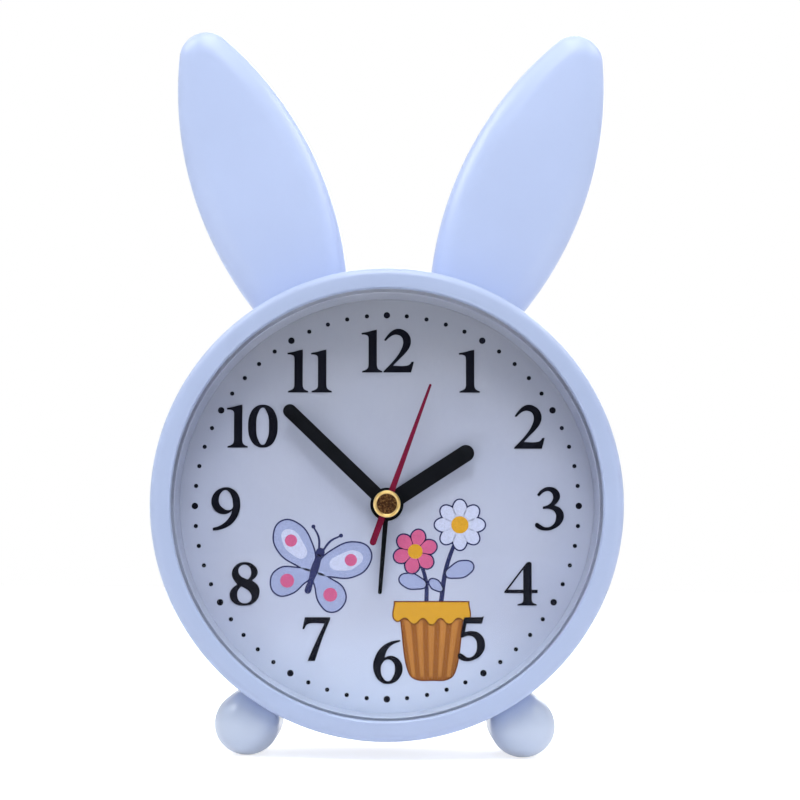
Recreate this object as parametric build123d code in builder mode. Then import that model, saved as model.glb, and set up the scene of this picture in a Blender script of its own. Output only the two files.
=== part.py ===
from build123d import *
import os
from math import cos, pi, radians, sin, sqrt

# A bedside alarm clock for a child: a drum with two upright ears and two round feet.
# Millimetres. +Z is up, the dial faces -Y, and the origin is on the table under the middle of the clock.
# "Depth" is the distance behind the rim's front face, "reach" the distance from the axis of the hands,
# "turn" an angle clockwise from twelve o'clock, as the dial is read, and "place" a pair of distances from
# the axis of the hands, to the right and up.

# Fits
running_clearance = 0.05
seat_clearance = 0.15
cut_overrun = 1.0

# Drum
rim_radius = 54.0
rim_lip_width = 4.7
rim_lip_thickness = 2.8
rim_edge_radius = 2.0
rim_inner_edge_radius = 0.5
drum_wall = 3.2
drum_rear_edge_radius = 1.2

# Ears
ear_turn = 22.5
ear_half_width = 15.4
ear_widest_rise = 25.4
ear_side_radius = 86.6
ear_tip_radius = 6.6
ear_root_thickness = 14.0
ear_tip_thickness = 9.0
ear_crown = 1.6
ear_edge_radius = 3.0
tenon_width = 14.0
tenon_thickness = 5.0
tenon_stub = 2.0

# Feet
foot_turn = 32.0
foot_rise = 6.0
foot_radius = 7.5
foot_setback = 4.0
foot_flat = 0.4
foot_peg_radius = 3.0
foot_peg_length = 2.0
foot_screw_length = 9.0

# Window and dial
lens_thickness = 1.6
dial_ring_depth = 8.8
dial_ring_taper = 1.1
dial_card_thickness = 0.3
dial_plate_thickness = 2.0
post_edge_gap = 3.65
post_radius = 3.0
post_turns = (0, 120, 240)

# Hands, with the turn that each is set to
hand_thickness = 0.5
hand_gap = 0.8
dial_to_hand = 1.1
hand_hub_radius = 3.6
hour_length = 23.8
hour_width = 3.9
hour_turn = 56.5
minute_length = 32.8
minute_width = 3.2
minute_hub_radius = 3.85
minute_turn = 313.35
second_length = 29.6
second_tail = 10.1
second_root_width = 1.5
second_tip_width = 0.6
second_turn = 19.5
cap_radius = 3.15
cap_thickness = 1.2
cap_edge_radius = 0.3
cap_recess_radius = 2.3
cap_recess_depth = 0.35
alarm_length = 20.8
alarm_root_width = 1.2
alarm_tip_width = 0.9
alarm_turn = 184.0

# Nested shafts
arbor_radius = 0.5
pipe_wall = 0.6
bush_wall = 1.2
pipe_proud = 0.2

# Gear train: tooth counts, distances between axes, and the direction of each axis, counted anticlockwise
# from three o'clock
rotor_teeth = 8
intermediate_teeth = 40
intermediate_pinion_teeth = 10
second_teeth = 60
second_pinion_teeth = 8
third_teeth = 60
third_pinion_teeth = 8
center_teeth = 64
cannon_teeth = 15
motion_teeth = 45
motion_pinion_teeth = 12
hour_teeth = 48
setting_teeth = 15
alarm_teeth = 40
alarm_stem_teeth = 40
motion_distance = 9.6
motion_direction = 150.0
third_distance = 11.0
third_direction = 340.0
intermediate_distance = 11.2
intermediate_direction = 100.0
rotor_distance = 8.4
rotor_direction = 90.0
alarm_distance = 16.0
alarm_direction = 36.87
gear_thickness = 0.9
gear_gap = 0.4
pinion_overlap = 0.1
trip_gap = 0.8
stem_radius = 1.25
stud_collar_radius = 0.9
addendum_share = 0.8
dedendum_share = 1.3
tooth_share = 0.42
tooth_root_share = 1.25
tooth_tip_share = 0.5

# Stepping motor
rotor_magnet_radius = 2.9
rotor_magnet_length = 3.2
rotor_air_gap = 0.5
stator_depth = 4.7
stator_thickness = 1.0
stator_bar = 8.0
stator_leg = 3.0
stator_post_radius = 1.2
core_rise = 8.6
core_height = 2.4
coil_length = 15.0
coil_radius = 3.1
bobbin_radius = 1.9
bobbin_flange_radius = 3.4
bobbin_flange_thickness = 0.8

# Movement
movement_plate_thickness = 1.4
movement_wall = 1.3
rear_gap = 0.6
lug_length = 7.0
lug_width = 8.0
movement_screw_length = 3.2
board_width = 15.5
board_height = 21.0
board_base = -15.5
board_thickness = 1.2
board_post_radius = 1.0
board_post_inset = 1.5
chip_radius = 2.6
chip_height = 1.1
crystal_radius = 1.0
crystal_length = 6.0
buzzer_radius = 6.0
buzzer_height = 6.0
buzzer_port_radius = 1.2
leaf_thickness = 0.3
leaf_ring_radius = 6.5
leaf_ring_width = 3.0
leaf_arm_width = 2.4

# Battery
battery_length = 50.5
battery_radius = 7.25
battery_nub_radius = 2.6
battery_nub_length = 1.2
battery_drop = 26.0
battery_cover_gap = 1.0
bay_floor_thickness = 1.3
bay_floor_gap = 3.4
spring_room = 4.0
contact_thickness = 0.4
contact_pad = 10.0
contact_tail = 4.0

# Rear cover and controls
cover_thickness = 2.0
cover_ledge = 1.2
cover_recess = 0.8
door_thickness = 1.2
door_flange = 2.2
door_corner_radius = 3.0
door_rib_depth = 2.6
door_rib_thickness = 1.0
grip_width = 18.0
grip_rib_thickness = 0.8
grip_rib_height = 0.5
grip_pitch = 2.0
grip_ribs = 4
thumb_notch_radius = 5.0
knob_radius = 6.5
knob_thickness = 5.5
knob_gap = 0.5
knob_edge_radius = 0.4
knob_neck_radius = 2.6
knob_flutes = 20
flute_radius = 0.7
switch_width = 4.0
switch_height = 3.4
switch_travel = 4.0
switch_proud = 2.2
switch_flange = 1.2
switch_flange_thickness = 1.0
switch_stem_width = 2.0
switch_drop = 11.6
sound_hole_radius = 0.8
sound_hole_pitch = 2.4
sound_hole_rings = (6, 12)

# Screws
screw_radius = 1.2
screw_head_radius = 2.3
screw_head_height = 1.5
screw_slot_width = 0.6
screw_slot_depth = 0.6
cover_screw_length = 12.0

# Radii that nest one in the next
rim_opening_radius = rim_radius - rim_lip_width
bore_radius = rim_radius - drum_wall
seat_radius = bore_radius - seat_clearance
cover_seat_radius = bore_radius + cover_ledge
post_reach = seat_radius - post_radius - post_edge_gap
foot_reach = rim_radius + foot_rise
minute_bore = arbor_radius + running_clearance
minute_radius = minute_bore + pipe_wall
hour_bore = minute_radius + running_clearance
hour_radius = hour_bore + pipe_wall
alarm_bore = hour_radius + running_clearance
alarm_radius = alarm_bore + pipe_wall
bush_bore = alarm_radius + running_clearance
bush_radius = bush_bore + bush_wall
pivot_hole = arbor_radius + running_clearance
stem_hole = stem_radius + running_clearance
screw_hole = screw_radius + seat_clearance

# Depths, from the lens to the back of the drum
lens_front = rim_lip_thickness
lens_back = lens_front + lens_thickness
ring_back = lens_back + dial_ring_depth
card_back = ring_back + dial_card_thickness
dial_back = card_back + dial_plate_thickness
plate_back = dial_back + movement_plate_thickness
gear_step = gear_thickness + gear_gap
alarm_front = plate_back + gear_gap
hour_front = alarm_front + gear_thickness + trip_gap
motion_front = hour_front + gear_step
center_front = motion_front + gear_step
third_front = center_front + gear_step
second_front = third_front + gear_step
intermediate_front = second_front + gear_step
case_inner_back = intermediate_front + gear_thickness + rear_gap
case_back = case_inner_back + movement_wall
bay_floor_front = plate_back + bay_floor_gap
bay_floor_back = bay_floor_front + bay_floor_thickness
battery_depth = bay_floor_back + seat_clearance + battery_radius
cover_front = battery_depth + battery_radius + battery_cover_gap
cover_back = cover_front + cover_thickness
drum_depth = cover_back + cover_recess
knob_front = cover_back + knob_gap
knob_back = knob_front + knob_thickness
stem_back = knob_front + knob_thickness / 2
pivot_front = dial_back + seat_clearance
pivot_back = case_back - seat_clearance
alarm_hand_front = ring_back - dial_to_hand - hand_thickness
hour_hand_front = alarm_hand_front - hand_gap - hand_thickness
minute_hand_front = hour_hand_front - hand_gap - hand_thickness
second_hand_front = minute_hand_front - hand_gap - hand_thickness
cap_front = second_hand_front - cap_thickness
arbor_front = cap_front + 2 * cap_recess_depth

# The frame: mid depth of the whole clock at y = 0, feet on z = 0
front_y = -knob_back / 2
axis_height = foot_reach * cos(radians(foot_turn)) + foot_radius - foot_flat
center = (0, 0)


def polar(origin, distance, direction):
    """Place at a distance and direction from another place."""
    angle = radians(direction)
    return (origin[0] + distance * cos(angle), origin[1] + distance * sin(angle))


def face_plane(depth, place=center, turn=0):
    """Plane at a depth, facing the viewer, with its y axis at a turn from twelve o'clock."""
    angle = radians(turn)
    origin = (place[0], front_y + depth, axis_height + place[1])
    return Plane(origin=origin, x_dir=(cos(angle), 0, -sin(angle)), z_dir=(0, -1, 0))


def rear_plane(depth, place):
    """Plane at a depth, facing away from the viewer."""
    return Plane(origin=face_plane(depth, place).origin, x_dir=(-1, 0, 0), z_dir=(0, 1, 0))


def radial_plane(turn, reach, depth):
    """Plane square to a radius of the drum, facing outwards, with its y axis along the depth."""
    angle = radians(turn)
    origin = (reach * sin(angle), front_y + depth, axis_height + reach * cos(angle))
    return Plane(origin=origin, x_dir=(cos(angle), 0, -sin(angle)), z_dir=(sin(angle), 0, cos(angle)))


def along_plane(place):
    """Plane through an axis at a place, with its x axis along the depth and its y axis up."""
    return Plane(origin=face_plane(0, place).origin, x_dir=(0, 1, 0), z_dir=(1, 0, 0))


hand_axis = Axis(along_plane(center).origin, (0, 1, 0))


def pin(place, radius, front, back, mode=Mode.ADD):
    """Round pin along the depth, or a hole of that size."""
    with BuildSketch(face_plane(front, place)) as section:
        Circle(radius)
    extrude(section.sketch, amount=front - back, mode=mode)


def slab(low, high, front, back, mode=Mode.ADD):
    """Block between two places and two depths, or a pocket of that size."""
    middle = ((low[0] + high[0]) / 2, (low[1] + high[1]) / 2)
    with BuildSketch(face_plane(front, middle)) as section:
        Rectangle(high[0] - low[0], high[1] - low[1])
    extrude(section.sketch, amount=front - back, mode=mode)


def block(place, width, height, front, back, mode=Mode.ADD):
    """Block about a place, between two depths, or a pocket of that size."""
    with BuildSketch(face_plane(front, place)) as section:
        Rectangle(width, height)
    extrude(section.sketch, amount=front - back, mode=mode)


def screw(plane, length):
    """Pan-head screw: its head stands on the plane and its shank goes in behind."""
    with BuildSketch(plane) as head:
        Circle(screw_head_radius)
    extrude(head.sketch, amount=screw_head_height)
    with BuildSketch(plane) as shank:
        Circle(screw_radius)
    extrude(shank.sketch, amount=-length)
    with BuildSketch(plane.offset(screw_head_height)) as cross:
        Rectangle(screw_head_radius, screw_slot_width)
        Rectangle(screw_slot_width, screw_head_radius)
    extrude(cross.sketch, amount=-screw_slot_depth, mode=Mode.SUBTRACT)


def toothed_section(teeth, pitch_radius, phase, depth, place):
    """Outline of a gear with straight flanks and one tooth centred at the phase angle."""
    module = 2 * pitch_radius / teeth
    root = pitch_radius - dedendum_share * module
    tip = pitch_radius + addendum_share * module
    half_tooth = pi * tooth_share / teeth
    corners = []
    for tooth in range(teeth):
        middle = radians(phase) + 2 * pi * tooth / teeth
        for radius, side in (
            (root, -tooth_root_share),
            (pitch_radius, -1),
            (tip, -tooth_tip_share),
            (tip, tooth_tip_share),
            (pitch_radius, 1),
            (root, tooth_root_share),
        ):
            angle = middle + side * half_tooth
            corners.append((radius * cos(angle), radius * sin(angle)))
    with BuildSketch(face_plane(depth, place)) as section:
        with BuildLine():
            Polyline(*corners, close=True)
        make_face()
    return section.sketch


def gear(teeth, pitch_radius, phase, front, place):
    """Toothed wheel from a front depth backwards."""
    extrude(toothed_section(teeth, pitch_radius, phase, front, place), amount=-gear_thickness)


def pinion(teeth, pitch_radius, phase, wheel_front, place):
    """Small gear, a little longer than the wheel that it meshes with."""
    section = toothed_section(teeth, pitch_radius, phase, wheel_front - pinion_overlap, place)
    extrude(section, amount=-gear_thickness - 2 * pinion_overlap)


def pitch_radii(teeth_a, teeth_b, distance):
    """Pitch radii of two gears that mesh at a distance."""
    tooth_reach = distance / (teeth_a + teeth_b)
    return teeth_a * tooth_reach, teeth_b * tooth_reach


def meshed_phase(teeth_a, phase_a, teeth_b, direction):
    """Phase of gear b, so that a tooth of gear a meets a gap of b on the line between them."""
    return direction + 180 - (phase_a - direction) * teeth_a / teeth_b + 180 / teeth_b


def finish(piece, name):
    """Name a finished piece and write it."""
    piece.part.label = name
    export_step(piece.part, "parts/" + name + ".step")


# Axes of the gear train
motion_place = polar(center, motion_distance, motion_direction)
time_place = polar(motion_place, motion_distance, motion_direction)
third_place = polar(center, third_distance, third_direction)
intermediate_place = polar(center, intermediate_distance, intermediate_direction)
rotor_place = polar(intermediate_place, rotor_distance, rotor_direction)
alarm_place = polar(center, alarm_distance, alarm_direction)

# Pitch radii and phases along the train
rotor_pitch, intermediate_pitch = pitch_radii(rotor_teeth, intermediate_teeth, rotor_distance)
intermediate_pinion_pitch, second_pitch = pitch_radii(
    intermediate_pinion_teeth, second_teeth, intermediate_distance
)
second_pinion_pitch, third_pitch = pitch_radii(second_pinion_teeth, third_teeth, third_distance)
third_pinion_pitch, center_pitch = pitch_radii(third_pinion_teeth, center_teeth, third_distance)
cannon_pitch, motion_pitch = pitch_radii(cannon_teeth, motion_teeth, motion_distance)
motion_pinion_pitch, hour_pitch = pitch_radii(motion_pinion_teeth, hour_teeth, motion_distance)
setting_pitch = setting_teeth * motion_pitch / motion_teeth
alarm_pitch, alarm_stem_pitch = pitch_radii(alarm_teeth, alarm_stem_teeth, alarm_distance)
intermediate_pinion_phase = meshed_phase(second_teeth, 0, intermediate_pinion_teeth, intermediate_direction)
rotor_phase = meshed_phase(intermediate_teeth, 0, rotor_teeth, rotor_direction)
third_phase = meshed_phase(second_pinion_teeth, 0, third_teeth, third_direction)
center_phase = meshed_phase(third_pinion_teeth, 0, center_teeth, third_direction + 180)
motion_phase = meshed_phase(cannon_teeth, 0, motion_teeth, motion_direction)
hour_phase = meshed_phase(motion_pinion_teeth, 0, hour_teeth, motion_direction + 180)
setting_phase = meshed_phase(motion_teeth, motion_phase, setting_teeth, motion_direction)
alarm_stem_phase = meshed_phase(alarm_teeth, 0, alarm_stem_teeth, alarm_direction)

# Insides of the movement, set by the battery, the coil and the board
core_place = (rotor_place[0], rotor_place[1] + core_rise)
cavity_half_width = (battery_length + spring_room) / 2 + contact_thickness
cavity_top = core_place[1] + bobbin_flange_radius + seat_clearance
bay_half_height = battery_radius + seat_clearance
bay_top = bay_half_height - battery_drop
bay_bottom = -bay_half_height - battery_drop
cavity_bottom = bay_top + movement_wall
case_half_width = cavity_half_width + movement_wall
case_top = cavity_top + movement_wall
case_bottom = bay_bottom - movement_wall
contact_face = cavity_half_width - contact_thickness
board_right = contact_face - seat_clearance
board_left = board_right - board_width
board_top = board_base + board_height
board_middle = (board_left + board_right) / 2
board_back = case_inner_back - rear_gap
board_front = board_back - board_thickness
tail_front = board_back - contact_tail
buzzer_place = (board_middle, board_top - buzzer_radius - seat_clearance)
switch_middle = (board_middle, -switch_drop)
switch_rest = (board_middle - switch_travel / 2, -switch_drop)
lug_reach = case_half_width + lug_length / 2
lug_places = ((-lug_reach, 0), (lug_reach, 0))
post_places = [polar(center, post_reach, 90 - turn) for turn in post_turns]
stator_front = plate_back + stator_depth
stator_middle = stator_front + stator_thickness / 2
stator_half_length = coil_length / 2 + seat_clearance + stator_leg
stator_post_reach = stator_half_length - stator_leg / 2
stator_posts = [(rotor_place[0] + side * stator_post_reach, rotor_place[1]) for side in (-1, 1)]

# Places of the ears and feet
ear_depth = drum_depth / 2
ear_turns = {"left": -ear_turn, "right": ear_turn}
foot_front = foot_setback
foot_back = drum_depth - foot_setback
foot_depth = (foot_front + foot_back) / 2
foot_turns = {"left": 180 + foot_turn, "right": 180 - foot_turn}
foot_peg_reach = rim_radius - foot_peg_length
foot_head_reach = sqrt(bore_radius**2 - screw_head_radius**2)

os.makedirs("parts", exist_ok=True)

# Front housing: the drum with its rounded rim, the ledge for the rear cover, slots for the ears and holes
# for the feet
with BuildPart() as front_housing:
    with BuildSketch(along_plane(center)) as wall:
        with BuildLine():
            Polyline(
                (lens_front, rim_opening_radius),
                (0, rim_opening_radius),
                (0, rim_radius),
                (drum_depth, rim_radius),
                (drum_depth, cover_seat_radius),
                (cover_front, cover_seat_radius),
                (cover_front, bore_radius),
                (lens_front, bore_radius),
                close=True,
            )
        make_face()
        fillet(wall.vertices().group_by(Axis.X)[0].sort_by(Axis.Y)[-1], radius=rim_edge_radius)
        fillet(wall.vertices().group_by(Axis.X)[0].sort_by(Axis.Y)[0], radius=rim_inner_edge_radius)
        fillet(wall.vertices().group_by(Axis.X)[-1].sort_by(Axis.Y)[-1], radius=drum_rear_edge_radius)
    revolve(axis=hand_axis)
    for turn in ear_turns.values():
        with BuildSketch(radial_plane(turn, bore_radius - cut_overrun, ear_depth)):
            Rectangle(tenon_width + 2 * seat_clearance, tenon_thickness + 2 * seat_clearance)
        extrude(amount=drum_wall + 2 * cut_overrun, mode=Mode.SUBTRACT)
    for turn in foot_turns.values():
        with BuildSketch(radial_plane(turn, foot_peg_reach - seat_clearance, foot_depth)):
            Circle(foot_peg_radius + seat_clearance)
        extrude(amount=foot_peg_length + cut_overrun, mode=Mode.SUBTRACT)
        with BuildSketch(radial_plane(turn, bore_radius - cut_overrun, foot_depth)):
            Circle(screw_hole)
        extrude(amount=drum_wall, mode=Mode.SUBTRACT)
finish(front_housing, "front_housing")


# Ears: a leaf with two arc sides and a round tip, crowned across and thinner towards the tip, with a tenon
# through the drum
ear_widest_reach = rim_radius + ear_widest_rise
ear_side_offset = ear_side_radius - ear_half_width
ear_tip_center = ear_widest_reach + sqrt((ear_side_radius - ear_tip_radius) ** 2 - ear_side_offset**2)
ear_tip_reach = ear_tip_center + ear_tip_radius
ear_root_reach = bore_radius
ear_root_half_width = sqrt(ear_side_radius**2 - (ear_widest_reach - ear_root_reach) ** 2) - ear_side_offset
tangent_share = ear_side_radius / (ear_side_radius - ear_tip_radius)
tangent_x = (tangent_share - 1) * ear_side_offset
tangent_y = ear_widest_reach + tangent_share * (ear_tip_center - ear_widest_reach)


def crowned_section(plane, thickness):
    """Cross-section of an ear, with both faces arched over its width."""
    half_width = ear_half_width + cut_overrun
    edge = thickness / 2 - ear_crown * thickness / ear_root_thickness
    with BuildSketch(plane) as section:
        with BuildLine():
            ThreePointArc((-half_width, -edge), (0, -thickness / 2), (half_width, -edge))
            Line((half_width, -edge), (half_width, edge))
            ThreePointArc((half_width, edge), (0, thickness / 2), (-half_width, edge))
            Line((-half_width, edge), (-half_width, -edge))
        make_face()
    return section.sketch


for side, turn in ear_turns.items():
    with BuildPart() as ear:
        loft(
            [
                crowned_section(radial_plane(turn, ear_root_reach, ear_depth), ear_root_thickness),
                crowned_section(radial_plane(turn, ear_tip_reach, ear_depth), ear_tip_thickness),
            ]
        )
        with BuildSketch(face_plane(ear_depth, turn=turn)):
            with BuildLine():
                Line((-ear_root_half_width, ear_root_reach), (ear_root_half_width, ear_root_reach))
                ThreePointArc(
                    (ear_root_half_width, ear_root_reach),
                    (ear_half_width, ear_widest_reach),
                    (tangent_x, tangent_y),
                )
                ThreePointArc((tangent_x, tangent_y), (0, ear_tip_reach), (-tangent_x, tangent_y))
                ThreePointArc(
                    (-tangent_x, tangent_y),
                    (-ear_half_width, ear_widest_reach),
                    (-ear_root_half_width, ear_root_reach),
                )
            make_face()
        extrude(amount=ear_root_thickness, both=True, mode=Mode.INTERSECT)
        faces = ear.faces().sort_by(Axis.Y)
        outline = faces[0].edges() + faces[-1].edges()
        fillet(outline.filter_by(lambda edge: edge.center().Z > axis_height + rim_radius), ear_edge_radius)
        pin(center, rim_radius, -cut_overrun, drum_depth + cut_overrun, Mode.SUBTRACT)
        with BuildSketch(radial_plane(turn, bore_radius - tenon_stub, ear_depth)):
            Rectangle(tenon_width, tenon_thickness)
        extrude(amount=drum_wall + 2 * tenon_stub)
    finish(ear, side + "_ear")


# Feet: round-ended bars along the depth, saddled to the drum and flat where they stand, each with a peg
# in the drum wall and a screw from inside
for side, turn in foot_turns.items():
    place = (foot_reach * sin(radians(turn)), foot_reach * cos(radians(turn)))
    with BuildPart() as foot:
        with BuildSketch(along_plane(place)):
            with BuildLine():
                CenterArc((foot_front + foot_radius, 0), foot_radius, 180, -90)
                Line((foot_front + foot_radius, foot_radius), (foot_back - foot_radius, foot_radius))
                CenterArc((foot_back - foot_radius, 0), foot_radius, 90, -90)
                Line((foot_back, 0), (foot_front, 0))
            make_face()
        revolve(axis=Axis(along_plane(place).origin, (0, 1, 0)))
        pin(center, rim_radius, -cut_overrun, drum_depth + cut_overrun, Mode.SUBTRACT)
        with BuildSketch(Plane.XY):
            with Locations((place[0], 0)):
                Rectangle(2 * foot_radius, drum_depth)
        extrude(amount=-foot_radius, mode=Mode.SUBTRACT)
        with BuildSketch(radial_plane(turn, foot_peg_reach, foot_depth)):
            Circle(foot_peg_radius)
        extrude(amount=foot_peg_length + foot_peg_radius)
        with BuildSketch(radial_plane(turn, foot_head_reach, foot_depth)):
            Circle(screw_radius)
        extrude(amount=foot_screw_length, mode=Mode.SUBTRACT)
    finish(foot, side + "_foot")

with BuildPart() as foot_screws:
    for turn in foot_turns.values():
        seat = radial_plane(turn, foot_head_reach, foot_depth)
        screw(Plane(origin=seat.origin, x_dir=seat.x_dir, z_dir=-seat.z_dir), foot_screw_length)
finish(foot_screws, "foot_screws")


# Window and dial, dropped into the drum from behind against the rim's lip
with BuildPart() as lens:
    pin(center, seat_radius, lens_front, lens_back)
finish(lens, "lens")

with BuildPart() as dial_ring:
    with BuildSketch(along_plane(center)):
        with BuildLine():
            Polyline(
                (lens_back, rim_opening_radius),
                (lens_back, seat_radius),
                (ring_back, seat_radius),
                (ring_back, rim_opening_radius - dial_ring_taper),
                close=True,
            )
        make_face()
    revolve(axis=hand_axis)
finish(dial_ring, "dial_ring")

with BuildPart() as dial_card:
    pin(center, seat_radius, ring_back, card_back)
    pin(center, bush_radius + seat_clearance, ring_back, card_back, Mode.SUBTRACT)
finish(dial_card, "dial_card")

with BuildPart() as dial_plate:
    pin(center, seat_radius, card_back, dial_back)
    for place in post_places:
        pin(place, post_radius, dial_back, cover_front)
        pin(place, screw_radius, cover_back - cover_screw_length, cover_front, Mode.SUBTRACT)
    for place in lug_places:
        pin(place, screw_radius, card_back, dial_back, Mode.SUBTRACT)
    pin(center, bush_radius + seat_clearance, card_back, dial_back, Mode.SUBTRACT)
finish(dial_plate, "dial_plate")


# Hands, from the dial outwards, each pushed on its own pipe
def hand(turn, front, hub, bore, stations):
    """Flat hand with a round hub; the stations are pairs of reach and half width from its tail to its tip."""
    with BuildSketch(face_plane(front, turn=turn)) as outline:
        with BuildLine():
            Polyline(
                *[(half, reach) for reach, half in stations],
                *[(-half, reach) for reach, half in reversed(stations)],
                close=True,
            )
        make_face()
        for reach, half in (stations[0], stations[-1]):
            with Locations((0, reach)):
                Circle(half)
        Circle(hub)
        Circle(bore, mode=Mode.SUBTRACT)
    extrude(outline.sketch, amount=-hand_thickness)


with BuildPart() as alarm_hand:
    alarm_tip = alarm_length - alarm_tip_width / 2
    alarm_stations = ((0, alarm_root_width / 2), (alarm_tip, alarm_tip_width / 2))
    hand(alarm_turn, alarm_hand_front, hand_hub_radius, alarm_radius, alarm_stations)
finish(alarm_hand, "alarm_hand")

with BuildPart() as hour_hand:
    hour_tip = hour_length - hour_width / 2
    hour_stations = ((0, hour_width / 2), (hour_tip, hour_width / 2))
    hand(hour_turn, hour_hand_front, hand_hub_radius, hour_radius, hour_stations)
finish(hour_hand, "hour_hand")

with BuildPart() as minute_hand:
    minute_tip = minute_length - minute_width / 2
    minute_stations = ((0, minute_width / 2), (minute_tip, minute_width / 2))
    hand(minute_turn, minute_hand_front, minute_hub_radius, minute_radius, minute_stations)
finish(minute_hand, "minute_hand")

with BuildPart() as second_hand:
    second_stations = (
        (second_root_width / 2 - second_tail, second_root_width / 2),
        (0, second_root_width / 2),
        (second_length - second_tip_width / 2, second_tip_width / 2),
    )
    hand(second_turn, second_hand_front, cap_recess_radius, minute_radius, second_stations)
finish(second_hand, "second_hand")

with BuildPart() as second_hand_hub:
    pin(center, cap_radius, cap_front, second_hand_front)
    fillet(second_hand_hub.edges().group_by(Axis.Y)[0], radius=cap_edge_radius)
    pin(center, cap_recess_radius, cap_front, cap_front + cap_recess_depth, Mode.SUBTRACT)
    pin(center, minute_radius, second_hand_front, second_hand_front + hand_thickness)
    pin(center, arbor_radius, arbor_front, second_hand_front + hand_thickness, Mode.SUBTRACT)
finish(second_hand_hub, "second_hand_hub")


# Gear train, from the dial backwards
with BuildPart() as alarm_wheel:
    gear(alarm_teeth, alarm_pitch, 0, alarm_front, center)
    pin(center, alarm_radius, alarm_hand_front - pipe_proud, alarm_front)
    pin(center, alarm_bore, alarm_hand_front - pipe_proud, alarm_front + gear_thickness, Mode.SUBTRACT)
finish(alarm_wheel, "alarm_wheel")

with BuildPart() as hour_wheel:
    gear(hour_teeth, hour_pitch, hour_phase, hour_front, center)
    pin(center, hour_radius, hour_hand_front - pipe_proud, hour_front)
    pin(center, hour_bore, hour_hand_front - pipe_proud, hour_front + gear_thickness, Mode.SUBTRACT)
finish(hour_wheel, "hour_wheel")

with BuildPart() as motion_wheel:
    gear(motion_teeth, motion_pitch, motion_phase, motion_front, motion_place)
    pinion(motion_pinion_teeth, motion_pinion_pitch, 0, hour_front, motion_place)
    pin(motion_place, stem_radius, hour_front, motion_front)
    pin(motion_place, pivot_hole, hour_front - pinion_overlap, center_front, Mode.SUBTRACT)
finish(motion_wheel, "motion_wheel")

with BuildPart() as minute_pipe:
    pinion(cannon_teeth, cannon_pitch, 0, motion_front, center)
    pin(center, minute_radius, minute_hand_front - pipe_proud, center_front + gear_thickness)
    pin(center, minute_bore, minute_hand_front - pipe_proud, center_front + gear_thickness, Mode.SUBTRACT)
finish(minute_pipe, "minute_pipe")

with BuildPart() as center_wheel:
    gear(center_teeth, center_pitch, center_phase, center_front, center)
    pin(center, minute_radius, center_front, center_front + gear_thickness, Mode.SUBTRACT)
finish(center_wheel, "center_wheel")

with BuildPart() as third_wheel:
    gear(third_teeth, third_pitch, third_phase, third_front, third_place)
    pinion(third_pinion_teeth, third_pinion_pitch, 0, center_front, third_place)
    pin(third_place, arbor_radius, pivot_front, pivot_back)
finish(third_wheel, "third_wheel")

with BuildPart() as second_wheel:
    gear(second_teeth, second_pitch, 0, second_front, center)
    pinion(second_pinion_teeth, second_pinion_pitch, 0, third_front, center)
    pin(center, arbor_radius, arbor_front, pivot_back)
finish(second_wheel, "second_wheel")

with BuildPart() as intermediate_wheel:
    gear(intermediate_teeth, intermediate_pitch, 0, intermediate_front, intermediate_place)
    pinion(
        intermediate_pinion_teeth,
        intermediate_pinion_pitch,
        intermediate_pinion_phase,
        second_front,
        intermediate_place,
    )
    pin(intermediate_place, arbor_radius, pivot_front, pivot_back)
finish(intermediate_wheel, "intermediate_wheel")


# Stepping motor: rotor, stator plate, and a coil on the stator's core
magnet_front = stator_middle - rotor_magnet_length / 2
magnet_back = stator_middle + rotor_magnet_length / 2

with BuildPart() as rotor_pinion:
    pinion(rotor_teeth, rotor_pitch, rotor_phase, intermediate_front, rotor_place)
    pin(rotor_place, arbor_radius, pivot_front, pivot_back)
finish(rotor_pinion, "rotor_pinion")

with BuildPart() as rotor_magnet:
    pin(rotor_place, rotor_magnet_radius, magnet_front, magnet_back)
    pin(rotor_place, arbor_radius, magnet_front, magnet_back, Mode.SUBTRACT)
finish(rotor_magnet, "rotor_magnet")

with BuildPart() as stator:
    left = rotor_place[0] - stator_half_length
    right = rotor_place[0] + stator_half_length
    bar_top = rotor_place[1] + stator_bar / 2
    core_bottom = core_place[1] - core_height / 2
    stator_back = stator_front + stator_thickness
    bar_bottom = bar_top - stator_bar
    core_top = core_bottom + core_height
    slab((left, bar_bottom), (right, core_top), stator_front, stator_back)
    window = (left + stator_leg, bar_top), (right - stator_leg, core_bottom)
    slab(*window, stator_front, stator_back, Mode.SUBTRACT)
    pin(rotor_place, rotor_magnet_radius + rotor_air_gap, stator_front, stator_back, Mode.SUBTRACT)
finish(stator, "stator")


def coil_plane(offset):
    """Plane square to the coil's axis, at an offset from its middle."""
    origin = face_plane(stator_middle, (core_place[0] + offset, core_place[1])).origin
    return Plane(origin=origin, x_dir=(0, 1, 0), z_dir=(1, 0, 0))


winding_half = coil_length / 2 - bobbin_flange_thickness
with BuildPart() as coil_bobbin:
    with BuildSketch(coil_plane(0)):
        Circle(bobbin_radius)
    extrude(amount=winding_half, both=True)
    for offset in (-coil_length / 2, winding_half):
        with BuildSketch(coil_plane(offset)):
            Circle(bobbin_flange_radius)
        extrude(amount=bobbin_flange_thickness)
    with BuildSketch(coil_plane(0)):
        Rectangle(stator_thickness, core_height)
    extrude(amount=coil_length, both=True, mode=Mode.SUBTRACT)
finish(coil_bobbin, "coil_bobbin")

with BuildPart() as coil_winding:
    with BuildSketch(coil_plane(0)):
        Circle(coil_radius)
        Circle(bobbin_radius, mode=Mode.SUBTRACT)
    extrude(amount=winding_half, both=True)
finish(coil_winding, "coil_winding")


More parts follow.
